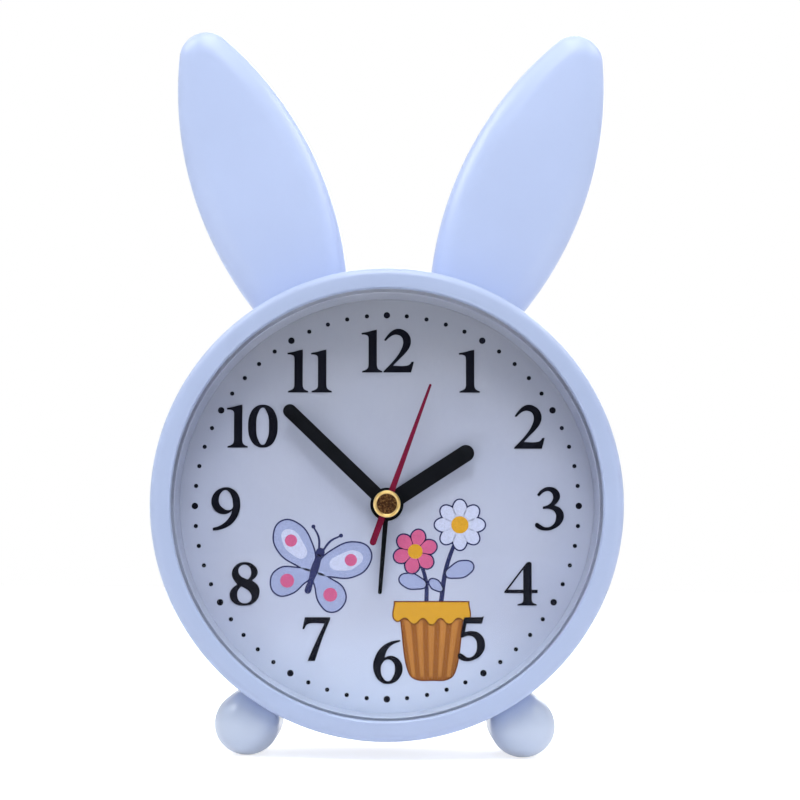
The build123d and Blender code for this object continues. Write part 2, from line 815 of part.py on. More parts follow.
# Setting stems, with their knobs on the back
with BuildPart() as time_stem:
    pinion(setting_teeth, setting_pitch, setting_phase, motion_front, time_place)
    pin(time_place, arbor_radius, pivot_front, motion_front)
    pin(time_place, stem_radius, motion_front, stem_back)
finish(time_stem, "time_stem")

with BuildPart() as alarm_stem:
    gear(alarm_stem_teeth, alarm_stem_pitch, alarm_stem_phase, alarm_front, alarm_place)
    pin(alarm_place, arbor_radius, pivot_front, alarm_front)
    pin(alarm_place, stem_radius, alarm_front, stem_back)
finish(alarm_stem, "alarm_stem")

for name, place in (("time_knob", time_place), ("alarm_knob", alarm_place)):
    with BuildPart() as knob:
        pin(place, knob_radius, knob_front, knob_back)
        fillet(knob.edges().group_by(Axis.Y)[-1], radius=knob_edge_radius)
        with BuildSketch(face_plane(knob_front, place)):
            with PolarLocations(knob_radius, knob_flutes):
                Circle(flute_radius)
        extrude(amount=-knob_thickness, mode=Mode.SUBTRACT)
        pin(place, knob_neck_radius, cover_front, knob_front)
        pin(place, stem_radius, cover_front, stem_back, Mode.SUBTRACT)
    finish(knob, name)


# Movement: a front plate with the fixed bush, and a rear case with the battery bay
stud_back = motion_front + gear_thickness
collar_back = hour_front - pinion_overlap - running_clearance

with BuildPart() as movement_front_plate:
    slab((-case_half_width, case_bottom), (case_half_width, case_top), dial_back, plate_back)
    lug_end = case_half_width + lug_length
    slab((-lug_end, -lug_width / 2), (lug_end, lug_width / 2), dial_back, plate_back)
    pin(center, bush_radius, ring_back - pipe_proud, dial_back)
    pin(center, bush_bore, ring_back - pipe_proud, plate_back, Mode.SUBTRACT)
    pin(motion_place, stud_collar_radius, plate_back, collar_back)
    pin(motion_place, arbor_radius, plate_back, stud_back)
    for place in stator_posts:
        pin(place, stator_post_radius, plate_back, stator_front)
    for place in (third_place, intermediate_place, rotor_place, time_place, alarm_place):
        pin(place, pivot_hole, dial_back, plate_back, Mode.SUBTRACT)
    for place in lug_places:
        pin(place, screw_hole, dial_back, plate_back, Mode.SUBTRACT)
finish(movement_front_plate, "movement_front_plate")

with BuildPart() as movement_screws:
    for place in lug_places:
        screw(rear_plane(plate_back, place), movement_screw_length)
finish(movement_screws, "movement_screws")

switch_slot_width = switch_stem_width + 2 * seat_clearance
notch = contact_thickness + seat_clearance
notch_front = tail_front - seat_clearance
notch_back = board_back + seat_clearance

with BuildPart() as movement_rear_case:
    bay_back = cover_front - seat_clearance
    slab((-case_half_width, cavity_bottom), (case_half_width, case_top), plate_back, case_back)
    slab((-case_half_width, case_bottom), (case_half_width, cavity_bottom), plate_back, bay_back)
    cavity = (-cavity_half_width, cavity_bottom), (cavity_half_width, cavity_top)
    slab(*cavity, plate_back, case_inner_back, Mode.SUBTRACT)
    bay = (-cavity_half_width, bay_bottom), (cavity_half_width, bay_top)
    slab(*bay, plate_back, bay_floor_front, Mode.SUBTRACT)
    slab(*bay, bay_floor_back, bay_back, Mode.SUBTRACT)
    for left in (-cavity_half_width, cavity_half_width - notch):
        slab((left, bay_top), (left + notch, cavity_bottom), notch_front, notch_back, Mode.SUBTRACT)
    for place in (
        (board_left + board_post_inset, board_top - board_post_inset),
        (board_right - board_post_inset, board_base + board_post_inset),
    ):
        pin(place, board_post_radius, board_back, case_inner_back)
    for place in (center, third_place, intermediate_place, rotor_place):
        pin(place, pivot_hole, case_inner_back, case_back, Mode.SUBTRACT)
    for place in (time_place, alarm_place):
        pin(place, stem_hole, case_inner_back, case_back, Mode.SUBTRACT)
    pin(buzzer_place, buzzer_radius + seat_clearance, case_inner_back, case_back, Mode.SUBTRACT)
    slot = switch_slot_width + switch_travel, switch_slot_width
    block(switch_middle, *slot, case_inner_back, case_back, Mode.SUBTRACT)
finish(movement_rear_case, "movement_rear_case")


# Electronics
with BuildPart() as circuit_board:
    slab((board_left, board_base), (board_right, board_top), board_front, board_back)
finish(circuit_board, "circuit_board")

with BuildPart() as chip:
    pin(switch_middle, chip_radius, board_front - chip_height, board_front)
    fillet(chip.edges().group_by(Axis.Y)[0], radius=chip_height / 2)
finish(chip, "chip")

with BuildPart() as quartz_crystal:
    crystal_place = (board_right - 2 * crystal_radius, board_top - 2 * crystal_radius - crystal_length)
    lying = Plane(origin=face_plane(board_front - crystal_radius, crystal_place).origin, z_dir=(0, 0, 1))
    with BuildSketch(lying):
        Circle(crystal_radius)
    extrude(amount=crystal_length)
    fillet(quartz_crystal.edges().group_by(Axis.Z)[-1], radius=crystal_radius / 2)
finish(quartz_crystal, "quartz_crystal")

with BuildPart() as buzzer:
    buzzer_back = board_back + buzzer_height
    pin(buzzer_place, buzzer_radius, board_back, buzzer_back)
    pin(buzzer_place, buzzer_port_radius, buzzer_back - buzzer_port_radius, buzzer_back, Mode.SUBTRACT)
finish(buzzer, "buzzer")

with BuildPart() as switch_contact:
    leaf_length = switch_travel + 2 * switch_stem_width
    block(switch_middle, leaf_length, switch_stem_width, board_back, board_back + leaf_thickness)
finish(switch_contact, "switch_contact")

with BuildPart() as alarm_contact_spring:
    leaf_front = hour_front - trip_gap / 2 - leaf_thickness / 2
    leaf_back = leaf_front + leaf_thickness
    arm = leaf_arm_width / 2
    pin(center, leaf_ring_radius, leaf_front, leaf_back)
    slab((leaf_ring_radius - leaf_ring_width, -arm), (cavity_half_width, arm), leaf_front, leaf_back)
    pin(center, leaf_ring_radius - leaf_ring_width, leaf_front, leaf_back, Mode.SUBTRACT)
    slab((cavity_half_width - leaf_thickness, -arm), (cavity_half_width, arm), leaf_front, board_back)
finish(alarm_contact_spring, "alarm_contact_spring")


# Battery with its contacts
with BuildPart() as battery:
    battery_end = face_plane(battery_depth, (contact_face - battery_length, -battery_drop))
    battery_plane = Plane(origin=battery_end.origin, x_dir=(0, 1, 0), z_dir=(1, 0, 0))
    with BuildSketch(battery_plane):
        Circle(battery_radius)
    extrude(amount=battery_length - battery_nub_length)
    fillet(battery.edges().filter_by(GeomType.CIRCLE), radius=battery_nub_length / 2)
    with BuildSketch(battery_plane):
        Circle(battery_nub_radius)
    extrude(amount=battery_length)
finish(battery, "battery")

pad_low = -battery_drop - contact_pad / 2
pad_high = -battery_drop + contact_pad / 2
pad_front = battery_depth - contact_pad / 2
pad_back = battery_depth + contact_pad / 2

with BuildPart() as positive_contact:
    slab((contact_face, pad_low), (cavity_half_width, pad_high), pad_front, pad_back)
    tail_top = board_base + contact_tail
    slab((contact_face, -battery_drop), (cavity_half_width, tail_top), tail_front, board_back)
finish(positive_contact, "positive_contact")

with BuildPart() as negative_contact:
    slab((-cavity_half_width, pad_low), (-contact_face, pad_high), pad_front, pad_back)
    tail_top = cavity_bottom + contact_thickness
    tail_end = board_left + contact_tail
    slab((-cavity_half_width, -battery_drop), (-contact_face, tail_top), tail_front, board_back)
    slab((-cavity_half_width, cavity_bottom), (tail_end, tail_top), tail_front, board_back)
    slab((tail_end - contact_thickness, cavity_bottom), (tail_end, board_base), tail_front, board_back)
    with BuildSketch(face_plane(pad_front + contact_pad / 4)):
        with BuildLine():
            bow_x = -cavity_half_width + contact_thickness / 2
            bow_tip = contact_face - battery_length - seat_clearance - contact_thickness / 2
            ThreePointArc((bow_x, pad_low), (bow_tip, -battery_drop), (bow_x, pad_high))
        trace(line_width=contact_thickness)
    extrude(amount=-contact_pad / 2)
finish(negative_contact, "negative_contact")


# Rear cover with its controls
door_half_width = cavity_half_width + door_flange
door_half_height = bay_half_height + door_flange
door_front = cover_back - door_thickness

with BuildPart() as rear_cover:
    pin(center, cover_seat_radius - seat_clearance, cover_front, cover_back)
    slab(*bay, cover_front, cover_back, Mode.SUBTRACT)
    recess = 2 * (door_half_width + seat_clearance), 2 * (door_half_height + seat_clearance)
    with BuildSketch(face_plane(door_front, (0, -battery_drop))):
        RectangleRounded(*recess, door_corner_radius + seat_clearance)
    extrude(amount=-door_thickness, mode=Mode.SUBTRACT)
    pin((0, door_half_height - battery_drop), thumb_notch_radius, door_front, cover_back, Mode.SUBTRACT)
    for place in (time_place, alarm_place):
        pin(place, knob_neck_radius + seat_clearance, cover_front, cover_back, Mode.SUBTRACT)
    for place in post_places:
        pin(place, screw_hole, cover_front, cover_back, Mode.SUBTRACT)
    slot = switch_width + switch_travel + 2 * seat_clearance, switch_height + 2 * seat_clearance
    block(switch_middle, *slot, cover_front, cover_back, Mode.SUBTRACT)
    with BuildSketch(face_plane(cover_front, buzzer_place)):
        Circle(sound_hole_radius)
        for ring, holes in enumerate(sound_hole_rings, start=1):
            with PolarLocations(ring * sound_hole_pitch, holes):
                Circle(sound_hole_radius)
    extrude(amount=-cover_thickness, mode=Mode.SUBTRACT)
finish(rear_cover, "rear_cover")

with BuildPart() as rear_cover_screws:
    for place in post_places:
        screw(rear_plane(cover_back, place), cover_screw_length)
finish(rear_cover_screws, "rear_cover_screws")

with BuildPart() as battery_door:
    with BuildSketch(face_plane(door_front, (0, -battery_drop))):
        RectangleRounded(2 * door_half_width, 2 * door_half_height, door_corner_radius)
    extrude(amount=-door_thickness)
    rib = cavity_half_width - seat_clearance
    rib_high = bay_top - seat_clearance
    rib_low = bay_bottom + seat_clearance
    slab((-rib, rib_high - door_rib_thickness), (rib, rib_high), door_front - door_rib_depth, door_front)
    slab((-rib, rib_low), (rib, rib_low + door_rib_thickness), door_front - door_rib_depth, door_front)
    with BuildSketch(face_plane(cover_back, (0, -battery_drop))):
        with GridLocations(0, grip_pitch, 1, grip_ribs):
            RectangleRounded(grip_width, grip_rib_thickness, grip_rib_thickness / 3)
    extrude(amount=-grip_rib_height)
finish(battery_door, "battery_door")

with BuildPart() as alarm_switch:
    flange_back = cover_front - seat_clearance
    flange_front = flange_back - switch_flange_thickness
    stem_front = board_back + leaf_thickness + seat_clearance
    flange = switch_width + 2 * switch_flange, switch_height + 2 * switch_flange
    block(switch_rest, switch_width, switch_height, flange_front, cover_back + switch_proud)
    block(switch_rest, *flange, flange_front, flange_back)
    block(switch_rest, switch_stem_width, switch_stem_width, stem_front, flange_front)
finish(alarm_switch, "alarm_switch")
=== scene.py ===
from math import asin, atan2, ceil, cos, pi, radians, sin, sqrt

import bmesh
import bpy
from mathutils import Matrix, Vector


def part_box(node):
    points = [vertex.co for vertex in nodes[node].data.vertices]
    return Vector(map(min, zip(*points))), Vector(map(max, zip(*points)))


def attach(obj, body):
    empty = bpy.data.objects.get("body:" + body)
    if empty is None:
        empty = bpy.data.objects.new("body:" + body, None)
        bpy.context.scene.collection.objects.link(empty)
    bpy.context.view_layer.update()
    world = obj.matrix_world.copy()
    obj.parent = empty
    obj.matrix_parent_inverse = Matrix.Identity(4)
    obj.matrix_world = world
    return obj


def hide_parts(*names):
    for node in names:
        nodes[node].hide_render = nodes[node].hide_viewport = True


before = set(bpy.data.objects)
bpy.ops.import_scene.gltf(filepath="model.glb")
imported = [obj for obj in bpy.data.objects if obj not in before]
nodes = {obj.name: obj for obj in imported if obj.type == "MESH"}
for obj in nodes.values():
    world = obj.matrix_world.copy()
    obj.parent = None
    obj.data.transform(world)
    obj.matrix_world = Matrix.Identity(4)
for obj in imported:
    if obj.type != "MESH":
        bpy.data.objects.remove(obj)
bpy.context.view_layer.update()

# A child's bedside clock: a lavender drum with two upright ears and two round feet.
# Sizes are in millimetres. "Depth" is measured back from the rim's front face, and a place on the dial is
# a pair of distances from the axis of the hands, to the right and up.
MM = 0.001
weld = 0.001
front_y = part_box("front_housing")[0].y
axis_z = (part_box("lens")[0].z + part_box("lens")[1].z) / 2

# Drum
rim_radius = 54.0
rim_round = 2.0
rim_opening = 49.3
rim_opening_round = 0.5
lip_round = 0.2
bore_radius = 50.8
cover_seat = 52.0
cover_seat_round = 0.4
seat_radius = 50.65
lens_front = 2.8
lens_back = 4.4
lens_round = 0.15
card_front = 13.2
ring_front = 48.65
ring_front_round = 0.15
ring_lip = 0.35
ring_lip_round = 0.12
ring_gap_depth = 0.28
ring_back_inset = 1.1
ring_back_round = 0.25
cover_front = 37.25
drum_depth = 40.05
drum_back_round = 1.2

# Ears
ear_turn = 22.5
ear_depth = drum_depth / 2
ear_root = 51.6
ear_half_width = 15.4
ear_widest = 79.4
ear_side_radius = 86.6
ear_tip_radius = 6.6
ear_base = 50.8
ear_base_thickness = 14.0
ear_tip_thickness = 9.0
ear_crown = 1.6
ear_edge = 5.8
ear_side_flat = 1.0

# Feet
foot_reach = 60.0
foot_turn = 32.0
foot_radius = 7.5
foot_front = 4.0
foot_press = 0.955

# Knobs on the back
knob_radius = 6.5
knob_thickness = 5.5
knob_neck = 2.6
knob_bevel = 0.5
knob_edge = 1.0
knob_dish = ((0.0, 4.9), (0.12, 4.62), (0.55, 4.3), (0.62, 3.9), (0.5, 1.6), (0.45, 0.0))
knob_flutes = 20
knob_flute_depth = 0.5
knob_grip = 5.2
stem_radius = 1.25

# Cap on the hands
cap_middle = ((0.40, 0.0), (0.37, 0.9), (0.39, 1.75), (0.42, 2.25), (0.36, 2.37))
cap_middle_radius = 2.3
cap_ring_radius = 2.4
cap_bead_radius = 2.76
cap_bead_half = 0.38
cap_bead_height = 0.30
cap_skirt = ((0.34, 3.15), (1.12, 3.15), (1.2, 3.07))
cap_thickness = 1.2
neck_radius = 1.15
arbor_radius = 0.5

# Print on the dial
ink = 0.03
dot_track = 44.75
dot_small = 0.5
dot_large = 0.76
numeral_height = 10.1
print_turn = 0.55
print_shift = (0.0, -0.25)
# How far the painted shade on the dial card and ring runs up and down from the axis
shade_reach = 50.0

# Camera, from the rim's front face and the axis of the hands, with its turns in degrees
eye_distance = 419.3
eye_drop = 15.5
eye_tilt = 3.77
eye_roll = -0.55


def spot(across, up, depth):
    """A point of the clock from its place on the dial and its depth."""
    return Vector((across * MM, front_y + depth * MM, axis_z + up * MM))


# Node helpers


def add(tree, kind, sockets=None, **settings):
    """One node; its sockets take a value or a link from another socket."""
    node = tree.nodes.new(kind)
    for key, value in settings.items():
        setattr(node, key, value)
    for key, value in (sockets or {}).items():
        if isinstance(value, bpy.types.NodeSocket):
            tree.links.new(value, node.inputs[key])
        else:
            node.inputs[key].default_value = value
    return node


def sums(tree, operation, *terms):
    """The result of one math node."""
    return add(tree, "ShaderNodeMath", dict(enumerate(terms)), operation=operation).outputs[0]


def stand(name, data):
    """A new object in the scene, at the origin."""
    holder = bpy.data.objects.new(name, data)
    bpy.context.scene.collection.objects.link(holder)
    return holder


def form_tree(name, inputs):
    """An empty geometry tree with named inputs, and its input node."""
    tree = bpy.data.node_groups.new(name, "GeometryNodeTree")
    tree.interface.new_socket("Geometry", in_out="INPUT", socket_type="NodeSocketGeometry")
    for label, kind in inputs.items():
        tree.interface.new_socket(label, in_out="INPUT", socket_type="NodeSocket" + kind)
    tree.interface.new_socket("Geometry", in_out="OUTPUT", socket_type="NodeSocketGeometry")
    return tree, tree.nodes.new("NodeGroupInput").outputs


def close_tree(tree, shape, finish):
    """Last nodes of a geometry tree: real geometry with its finish."""
    real = add(tree, "GeometryNodeRealizeInstances", {"Geometry": shape})
    dressed = add(tree, "GeometryNodeSetMaterial", {"Geometry": real.outputs[0], "Material": finish})
    add(tree, "NodeGroupOutput", {"Geometry": dressed.outputs[0]})


def grow(name, mesh, tree, **values):
    """A plain mesh piece from a geometry tree with its inputs set."""
    piece = stand(name, mesh)
    modifier = piece.modifiers.new("form", "NODES")
    modifier.node_group = tree
    for item in tree.interface.items_tree:
        if item.in_out == "INPUT" and item.name in values:
            modifier[item.identifier] = values[item.name]
    graph = bpy.context.evaluated_depsgraph_get()
    grown = bpy.data.meshes.new_from_object(piece.evaluated_get(graph))
    piece.modifiers.clear()
    piece.data = grown
    return piece


def settle(piece, crease=32):
    """Closes doubles, turns faces outwards and shades the piece smooth up to a crease angle."""
    shape = bmesh.new()
    shape.from_mesh(piece.data)
    bmesh.ops.remove_doubles(shape, verts=shape.verts, dist=weld * MM)
    bmesh.ops.recalc_face_normals(shape, faces=shape.faces)
    for face in shape.faces:
        face.smooth = True
    shape.to_mesh(piece.data)
    shape.free()
    piece.data.set_sharp_from_angle(angle=radians(crease))
    return piece


def fit(piece, body, slot, *stands_for):
    """Puts a finished piece on its body in place of its nodes. The slot is not used."""
    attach(piece, body)
    if stands_for:
        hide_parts(*stands_for)
    return piece


# Finishes


def looked_at(tree):
    """Two switches: seen by the camera, and seen by it, in a gloss or through the window."""
    path = add(tree, "ShaderNodeLightPath").outputs
    mirrored = sums(tree, "MAXIMUM", path["Is Glossy Ray"], path["Is Transmission Ray"])
    return path["Is Camera Ray"], sums(tree, "MAXIMUM", path["Is Camera Ray"], mirrored)


def blank(name):
    """A new material with its tree, its shader and the object's own coordinates."""
    material = bpy.data.materials.new(name)
    material.use_nodes = True
    tree = material.node_tree
    return material, tree, tree.nodes["Principled BSDF"], add(tree, "ShaderNodeTexCoord").outputs["Object"]


def cloud(tree, place, scale, detail=2.0, roughness=0.5, stretch=None):
    """Noise in the object's own coordinates; the scale is in lumps per metre."""
    if stretch:
        place = add(tree, "ShaderNodeMapping", {"Vector": place, "Scale": stretch}).outputs[0]
    sockets = {"Vector": place, "Scale": scale, "Detail": detail, "Roughness": roughness}
    return add(tree, "ShaderNodeTexNoise", sockets).outputs["Fac"]


def spread(tree, value, low, high, start=0.3, end=0.7):
    """A value remapped from where noise mostly lies to a range."""
    sockets = {"Value": value, "From Min": start, "From Max": end, "To Min": low, "To Max": high}
    return add(tree, "ShaderNodeMapRange", sockets).outputs["Result"]


def shades(tree, value, *stops):
    """A colour ramp from pairs of position and linear colour."""
    ramp = add(tree, "ShaderNodeValToRGB", {"Fac": value})
    elements = ramp.color_ramp.elements
    while len(elements) < len(stops):
        elements.new(0.5)
    for element, (position, colour) in zip(elements, stops):
        element.position = position
        element.color = (*colour, 1.0)
    return ramp.outputs["Color"]


def lump(tree, shader, height, strength, distance):
    """Surface relief on a shader."""
    sockets = {"Height": height, "Strength": strength, "Distance": distance * MM}
    tree.links.new(add(tree, "ShaderNodeBump", sockets).outputs[0], shader.inputs["Normal"])


def tinted(colour, share):
    """A colour made lighter or darker."""
    return tuple(min(1.0, part * share) for part in colour)


def upright_painted_shade(tree, place, shade_tones, mottle, low, high):
    """Painted shade that runs from the bottom of the dial to its top, lighter below and darker above, with
    fine mottling.
    """
    rise = add(tree, "ShaderNodeSeparateXYZ", {0: place}).outputs["Z"]
    share = spread(tree, rise, 0.0, 1.0, axis_z - shade_reach * MM, axis_z + shade_reach * MM)
    painted_shade = shades(tree, share, *shade_tones)
    value = spread(tree, mottle, low, high, 0.35, 0.65)
    return add(tree, "ShaderNodeHueSaturation", {"Value": value, "Color": painted_shade}).outputs[0]


def moulded(name, colour, low, high, grain=1400, relief=0.12, drift=0.05, coat=0.0, shade_tones=()):
    """Moulded plastic: a slow drift of tone, fine texture and a roughness that wanders; given shade tones,
    painted shade runs from the bottom of the dial to its top.
    """
    material, tree, shader, place = blank(name)
    slow = cloud(tree, place, 32, 3)
    fine = cloud(tree, place, grain, 3, 0.6)
    if shade_tones:
        tone = upright_painted_shade(tree, place, shade_tones, slow, 1 - drift, 1 + drift)
    else:
        tone = shades(tree, slow, (0.3, tinted(colour, 1 - drift)), (0.7, tinted(colour, 1 + drift)))
    tree.links.new(tone, shader.inputs["Base Color"])
    uneven = sums(tree, "ADD", slow, sums(tree, "MULTIPLY", fine, 0.4))
    tree.links.new(spread(tree, uneven, low, high, 0.5, 0.9), shader.inputs["Roughness"])
    lump(tree, shader, fine, relief, 0.03)
    shader.inputs["Coat Weight"].default_value = coat
    shader.inputs["Coat Roughness"].default_value = 0.12
    return material


def clear_plastic(name):
    """Polished clear sheet that lets lamp light through to the dial."""
    material, tree, shader, place = blank(name)
    haze = cloud(tree, place, 60, 4)
    tone = shades(tree, haze, (0.3, (0.97, 0.98, 1.0)), (0.7, (1.0, 1.0, 1.0)))
    tree.links.new(tone, shader.inputs["Base Color"])
    tree.links.new(spread(tree, cloud(tree, place, 420, 4), 0.0, 0.012), shader.inputs["Roughness"])
    shader.inputs["Transmission Weight"].default_value = 1.0
    shader.inputs["IOR"].default_value = 1.15
    lump(tree, shader, cloud(tree, place, 25, 1), 0.02, 0.02)
    ray = add(tree, "ShaderNodeLightPath")
    through = add(tree, "ShaderNodeBsdfTransparent")
    sides = {0: ray.outputs["Is Shadow Ray"], 1: shader.outputs[0], 2: through.outputs[0]}
    mix = add(tree, "ShaderNodeMixShader", sides)
    tree.links.new(mix.outputs[0], tree.nodes["Material Output"].inputs["Surface"])
    return material


def card(name, *shade_tones):
    """Printed card with painted shade from a lighter, bluer bottom to a darker top, soft fibres and a faint
    unevenness.
    """
    material, tree, shader, place = blank(name)
    fibres = cloud(tree, place, 2600, 4, 0.7, (1.0, 1.0, 0.35))
    slow = cloud(tree, place, 40, 3)
    blend = sums(tree, "ADD", sums(tree, "MULTIPLY", fibres, 0.5), sums(tree, "MULTIPLY", slow, 0.5))
    tree.links.new(upright_painted_shade(tree, place, shade_tones, blend, 0.955, 1.03), shader.inputs["Base Color"])
    tree.links.new(spread(tree, fibres, 0.45, 0.62), shader.inputs["Roughness"])
    shader.inputs["Specular IOR Level"].default_value = 0.25
    lump(tree, shader, fibres, 0.15, 0.02)
    return material


def printed(name, colour):
    """Ink on the card: the card's fibres show through as fine mottling."""
    material, tree, shader, place = blank(name)
    mottle = cloud(tree, place, 3200, 3, 0.65)
    tree.links.new(shades(tree, mottle, (0.3, tinted(colour, 0.86)), (0.72, tinted(colour, 1.1))),
                   shader.inputs["Base Color"])
    tree.links.new(spread(tree, mottle, 0.38, 0.56), shader.inputs["Roughness"])
    shader.inputs["Specular IOR Level"].default_value = 0.07
    lump(tree, shader, mottle, 0.12, 0.01)
    return material


def painted(name, colour, low, high):
    """Thin paint on stamped sheet: fine spray texture."""
    material, tree, shader, place = blank(name)
    spray = cloud(tree, place, 2400, 2, 0.6)
    slow = cloud(tree, place, 150, 2)
    tree.links.new(shades(tree, slow, (0.3, tinted(colour, 0.8)), (0.7, tinted(colour, 1.25))),
                   shader.inputs["Base Color"])
    tree.links.new(spread(tree, spray, low, high), shader.inputs["Roughness"])
    shader.inputs["Specular IOR Level"].default_value = 0.06
    lump(tree, shader, spray, 0.18, 0.015)
    return material


def metal(name, colour, low, high, stretch=(1.0, 1.0, 1.0), grain=900):
    """Sheet or turned metal with the lines of its making."""
    material, tree, shader, place = blank(name)
    lines = cloud(tree, place, grain, 3, 0.6, stretch)
    slow = cloud(tree, place, 90, 3)
    tree.links.new(shades(tree, slow, (0.3, tinted(colour, 0.82)), (0.7, tinted(colour, 1.1))),
                   shader.inputs["Base Color"])
    tree.links.new(spread(tree, lines, low, high), shader.inputs["Roughness"])
    shader.inputs["Metallic"].default_value = 1.0
    lump(tree, shader, lines, 0.15, 0.02)
    return material


def turned_cap(name):
    """Brass cap: a bright bevelled ring round a dark stippled middle."""
    material, tree, shader, place = blank(name)
    centred = add(tree, "ShaderNodeMapping", {"Vector": place, "Location": (0.0, 0.0, -axis_z)}).outputs[0]
    parts = add(tree, "ShaderNodeSeparateXYZ", {0: centred}).outputs
    squares = [sums(tree, "POWER", parts[axis], 2.0) for axis in "XZ"]
    reach = sums(tree, "SQRT", sums(tree, "ADD", *squares))
    ring = spread(tree, reach, 0.0, 1.0, cap_middle_radius * MM, cap_ring_radius * MM)
    stipple = cloud(tree, place, 2200, 3, 0.7)
    bronzes = (0.32, (0.022, 0.009, 0.005)), (0.5, (0.072, 0.031, 0.013)), (0.7, (0.25, 0.13, 0.045))
    bronze = shades(tree, stipple, *bronzes)
    gold = shades(tree, cloud(tree, place, 500, 2), (0.3, (0.70, 0.46, 0.15)), (0.7, (0.90, 0.67, 0.29)))
    tone = add(tree, "ShaderNodeMix", {0: ring, 6: bronze, 7: gold}, data_type="RGBA").outputs[2]
    tree.links.new(tone, shader.inputs["Base Color"])
    tree.links.new(spread(tree, ring, 0.5, 0.3, 0.0, 1.0), shader.inputs["Roughness"])
    shader.inputs["Metallic"].default_value = 1.0
    lump(tree, shader, stipple, 0.2, 0.03)
    return material


def wound_wire(name, colour):
    """Enamelled wire laid turn beside turn along the coil."""
    material, tree, shader, place = blank(name)
    sockets = {"Vector": place, "Scale": 1200.0, "Distortion": 0.6, "Detail": 1.0}
    turns = add(tree, "ShaderNodeTexWave", sockets).outputs["Fac"]
    tone = shades(tree, turns, (0.0, tinted(colour, 0.35)), (0.6, colour))
    tree.links.new(tone, shader.inputs["Base Color"])
    tree.links.new(spread(tree, cloud(tree, place, 800), 0.25, 0.4), shader.inputs["Roughness"])
    shader.inputs["Metallic"].default_value = 1.0
    lump(tree, shader, turns, 0.5, 0.1)
    return material


def circuit(name, colour):
    """Solder mask with paler lines where tracks run under it."""
    material, tree, shader, place = blank(name)
    tracks = add(tree, "ShaderNodeTexVoronoi", {"Vector": place, "Scale": 420.0}, distance="MANHATTAN")
    tree.links.new(shades(tree, tracks.outputs["Distance"], (0.25, tinted(colour, 1.5)), (0.32, colour)),
                   shader.inputs["Base Color"])
    tree.links.new(spread(tree, cloud(tree, place, 1500), 0.25, 0.4), shader.inputs["Roughness"])
    lump(tree, shader, tracks.outputs["Distance"], 0.2, 0.04)
    return material


def cell_skin(name, body, band):
    """Sleeve of a dry cell: a slate body with a pale band at one end and bare steel at the very ends."""
    material, tree, shader, place = blank(name)
    low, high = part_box("battery")
    along = add(tree, "ShaderNodeSeparateXYZ", {0: place}).outputs["X"]
    share = spread(tree, along, 0.0, 1.0, low.x, high.x)
    steel = (0.55, 0.55, 0.56)
    sleeve = (0.012, body), (0.30, tinted(body, 1.2)), (0.70, body), (0.705, band), (0.96, band)
    tone = shades(tree, share, (0.0, steel), *sleeve, (0.966, steel))
    tone.node.color_ramp.interpolation = "CONSTANT"
    scuff = cloud(tree, place, 900, 4, 0.6, (0.2, 1.0, 1.0))
    mix = add(tree, "ShaderNodeHueSaturation", {"Value": spread(tree, scuff, 0.9, 1.08), "Color": tone})
    tree.links.new(mix.outputs[0], shader.inputs["Base Color"])
    tree.links.new(spread(tree, scuff, 0.22, 0.4), shader.inputs["Roughness"])
    shader.inputs["Metallic"].default_value = 0.35
    lump(tree, shader, scuff, 0.05, 0.02)
    return material


shell = (0.55, 0.64, 0.92)
# The drum and rim get a darker copy of the shell colour: painted shade
shaded_drum_shell = (0.487, 0.567, 0.81)
# The feet get a paler, greyer copy of the shell colour: painted light, the warm light from below on the feet
bounce_lit_foot_shell = (0.60, 0.667, 0.835)
# Painted shade and light on the dial card: lighter and bluer at the bottom, darker grey at the top where the
# rim shades it
painted_dial_shade = (
    (0.0, (0.57, 0.64, 0.80)),
    (0.25, (0.41, 0.44, 0.565)),
    (0.6, (0.36, 0.385, 0.49)),
    (0.96, (0.285, 0.295, 0.34)),
)
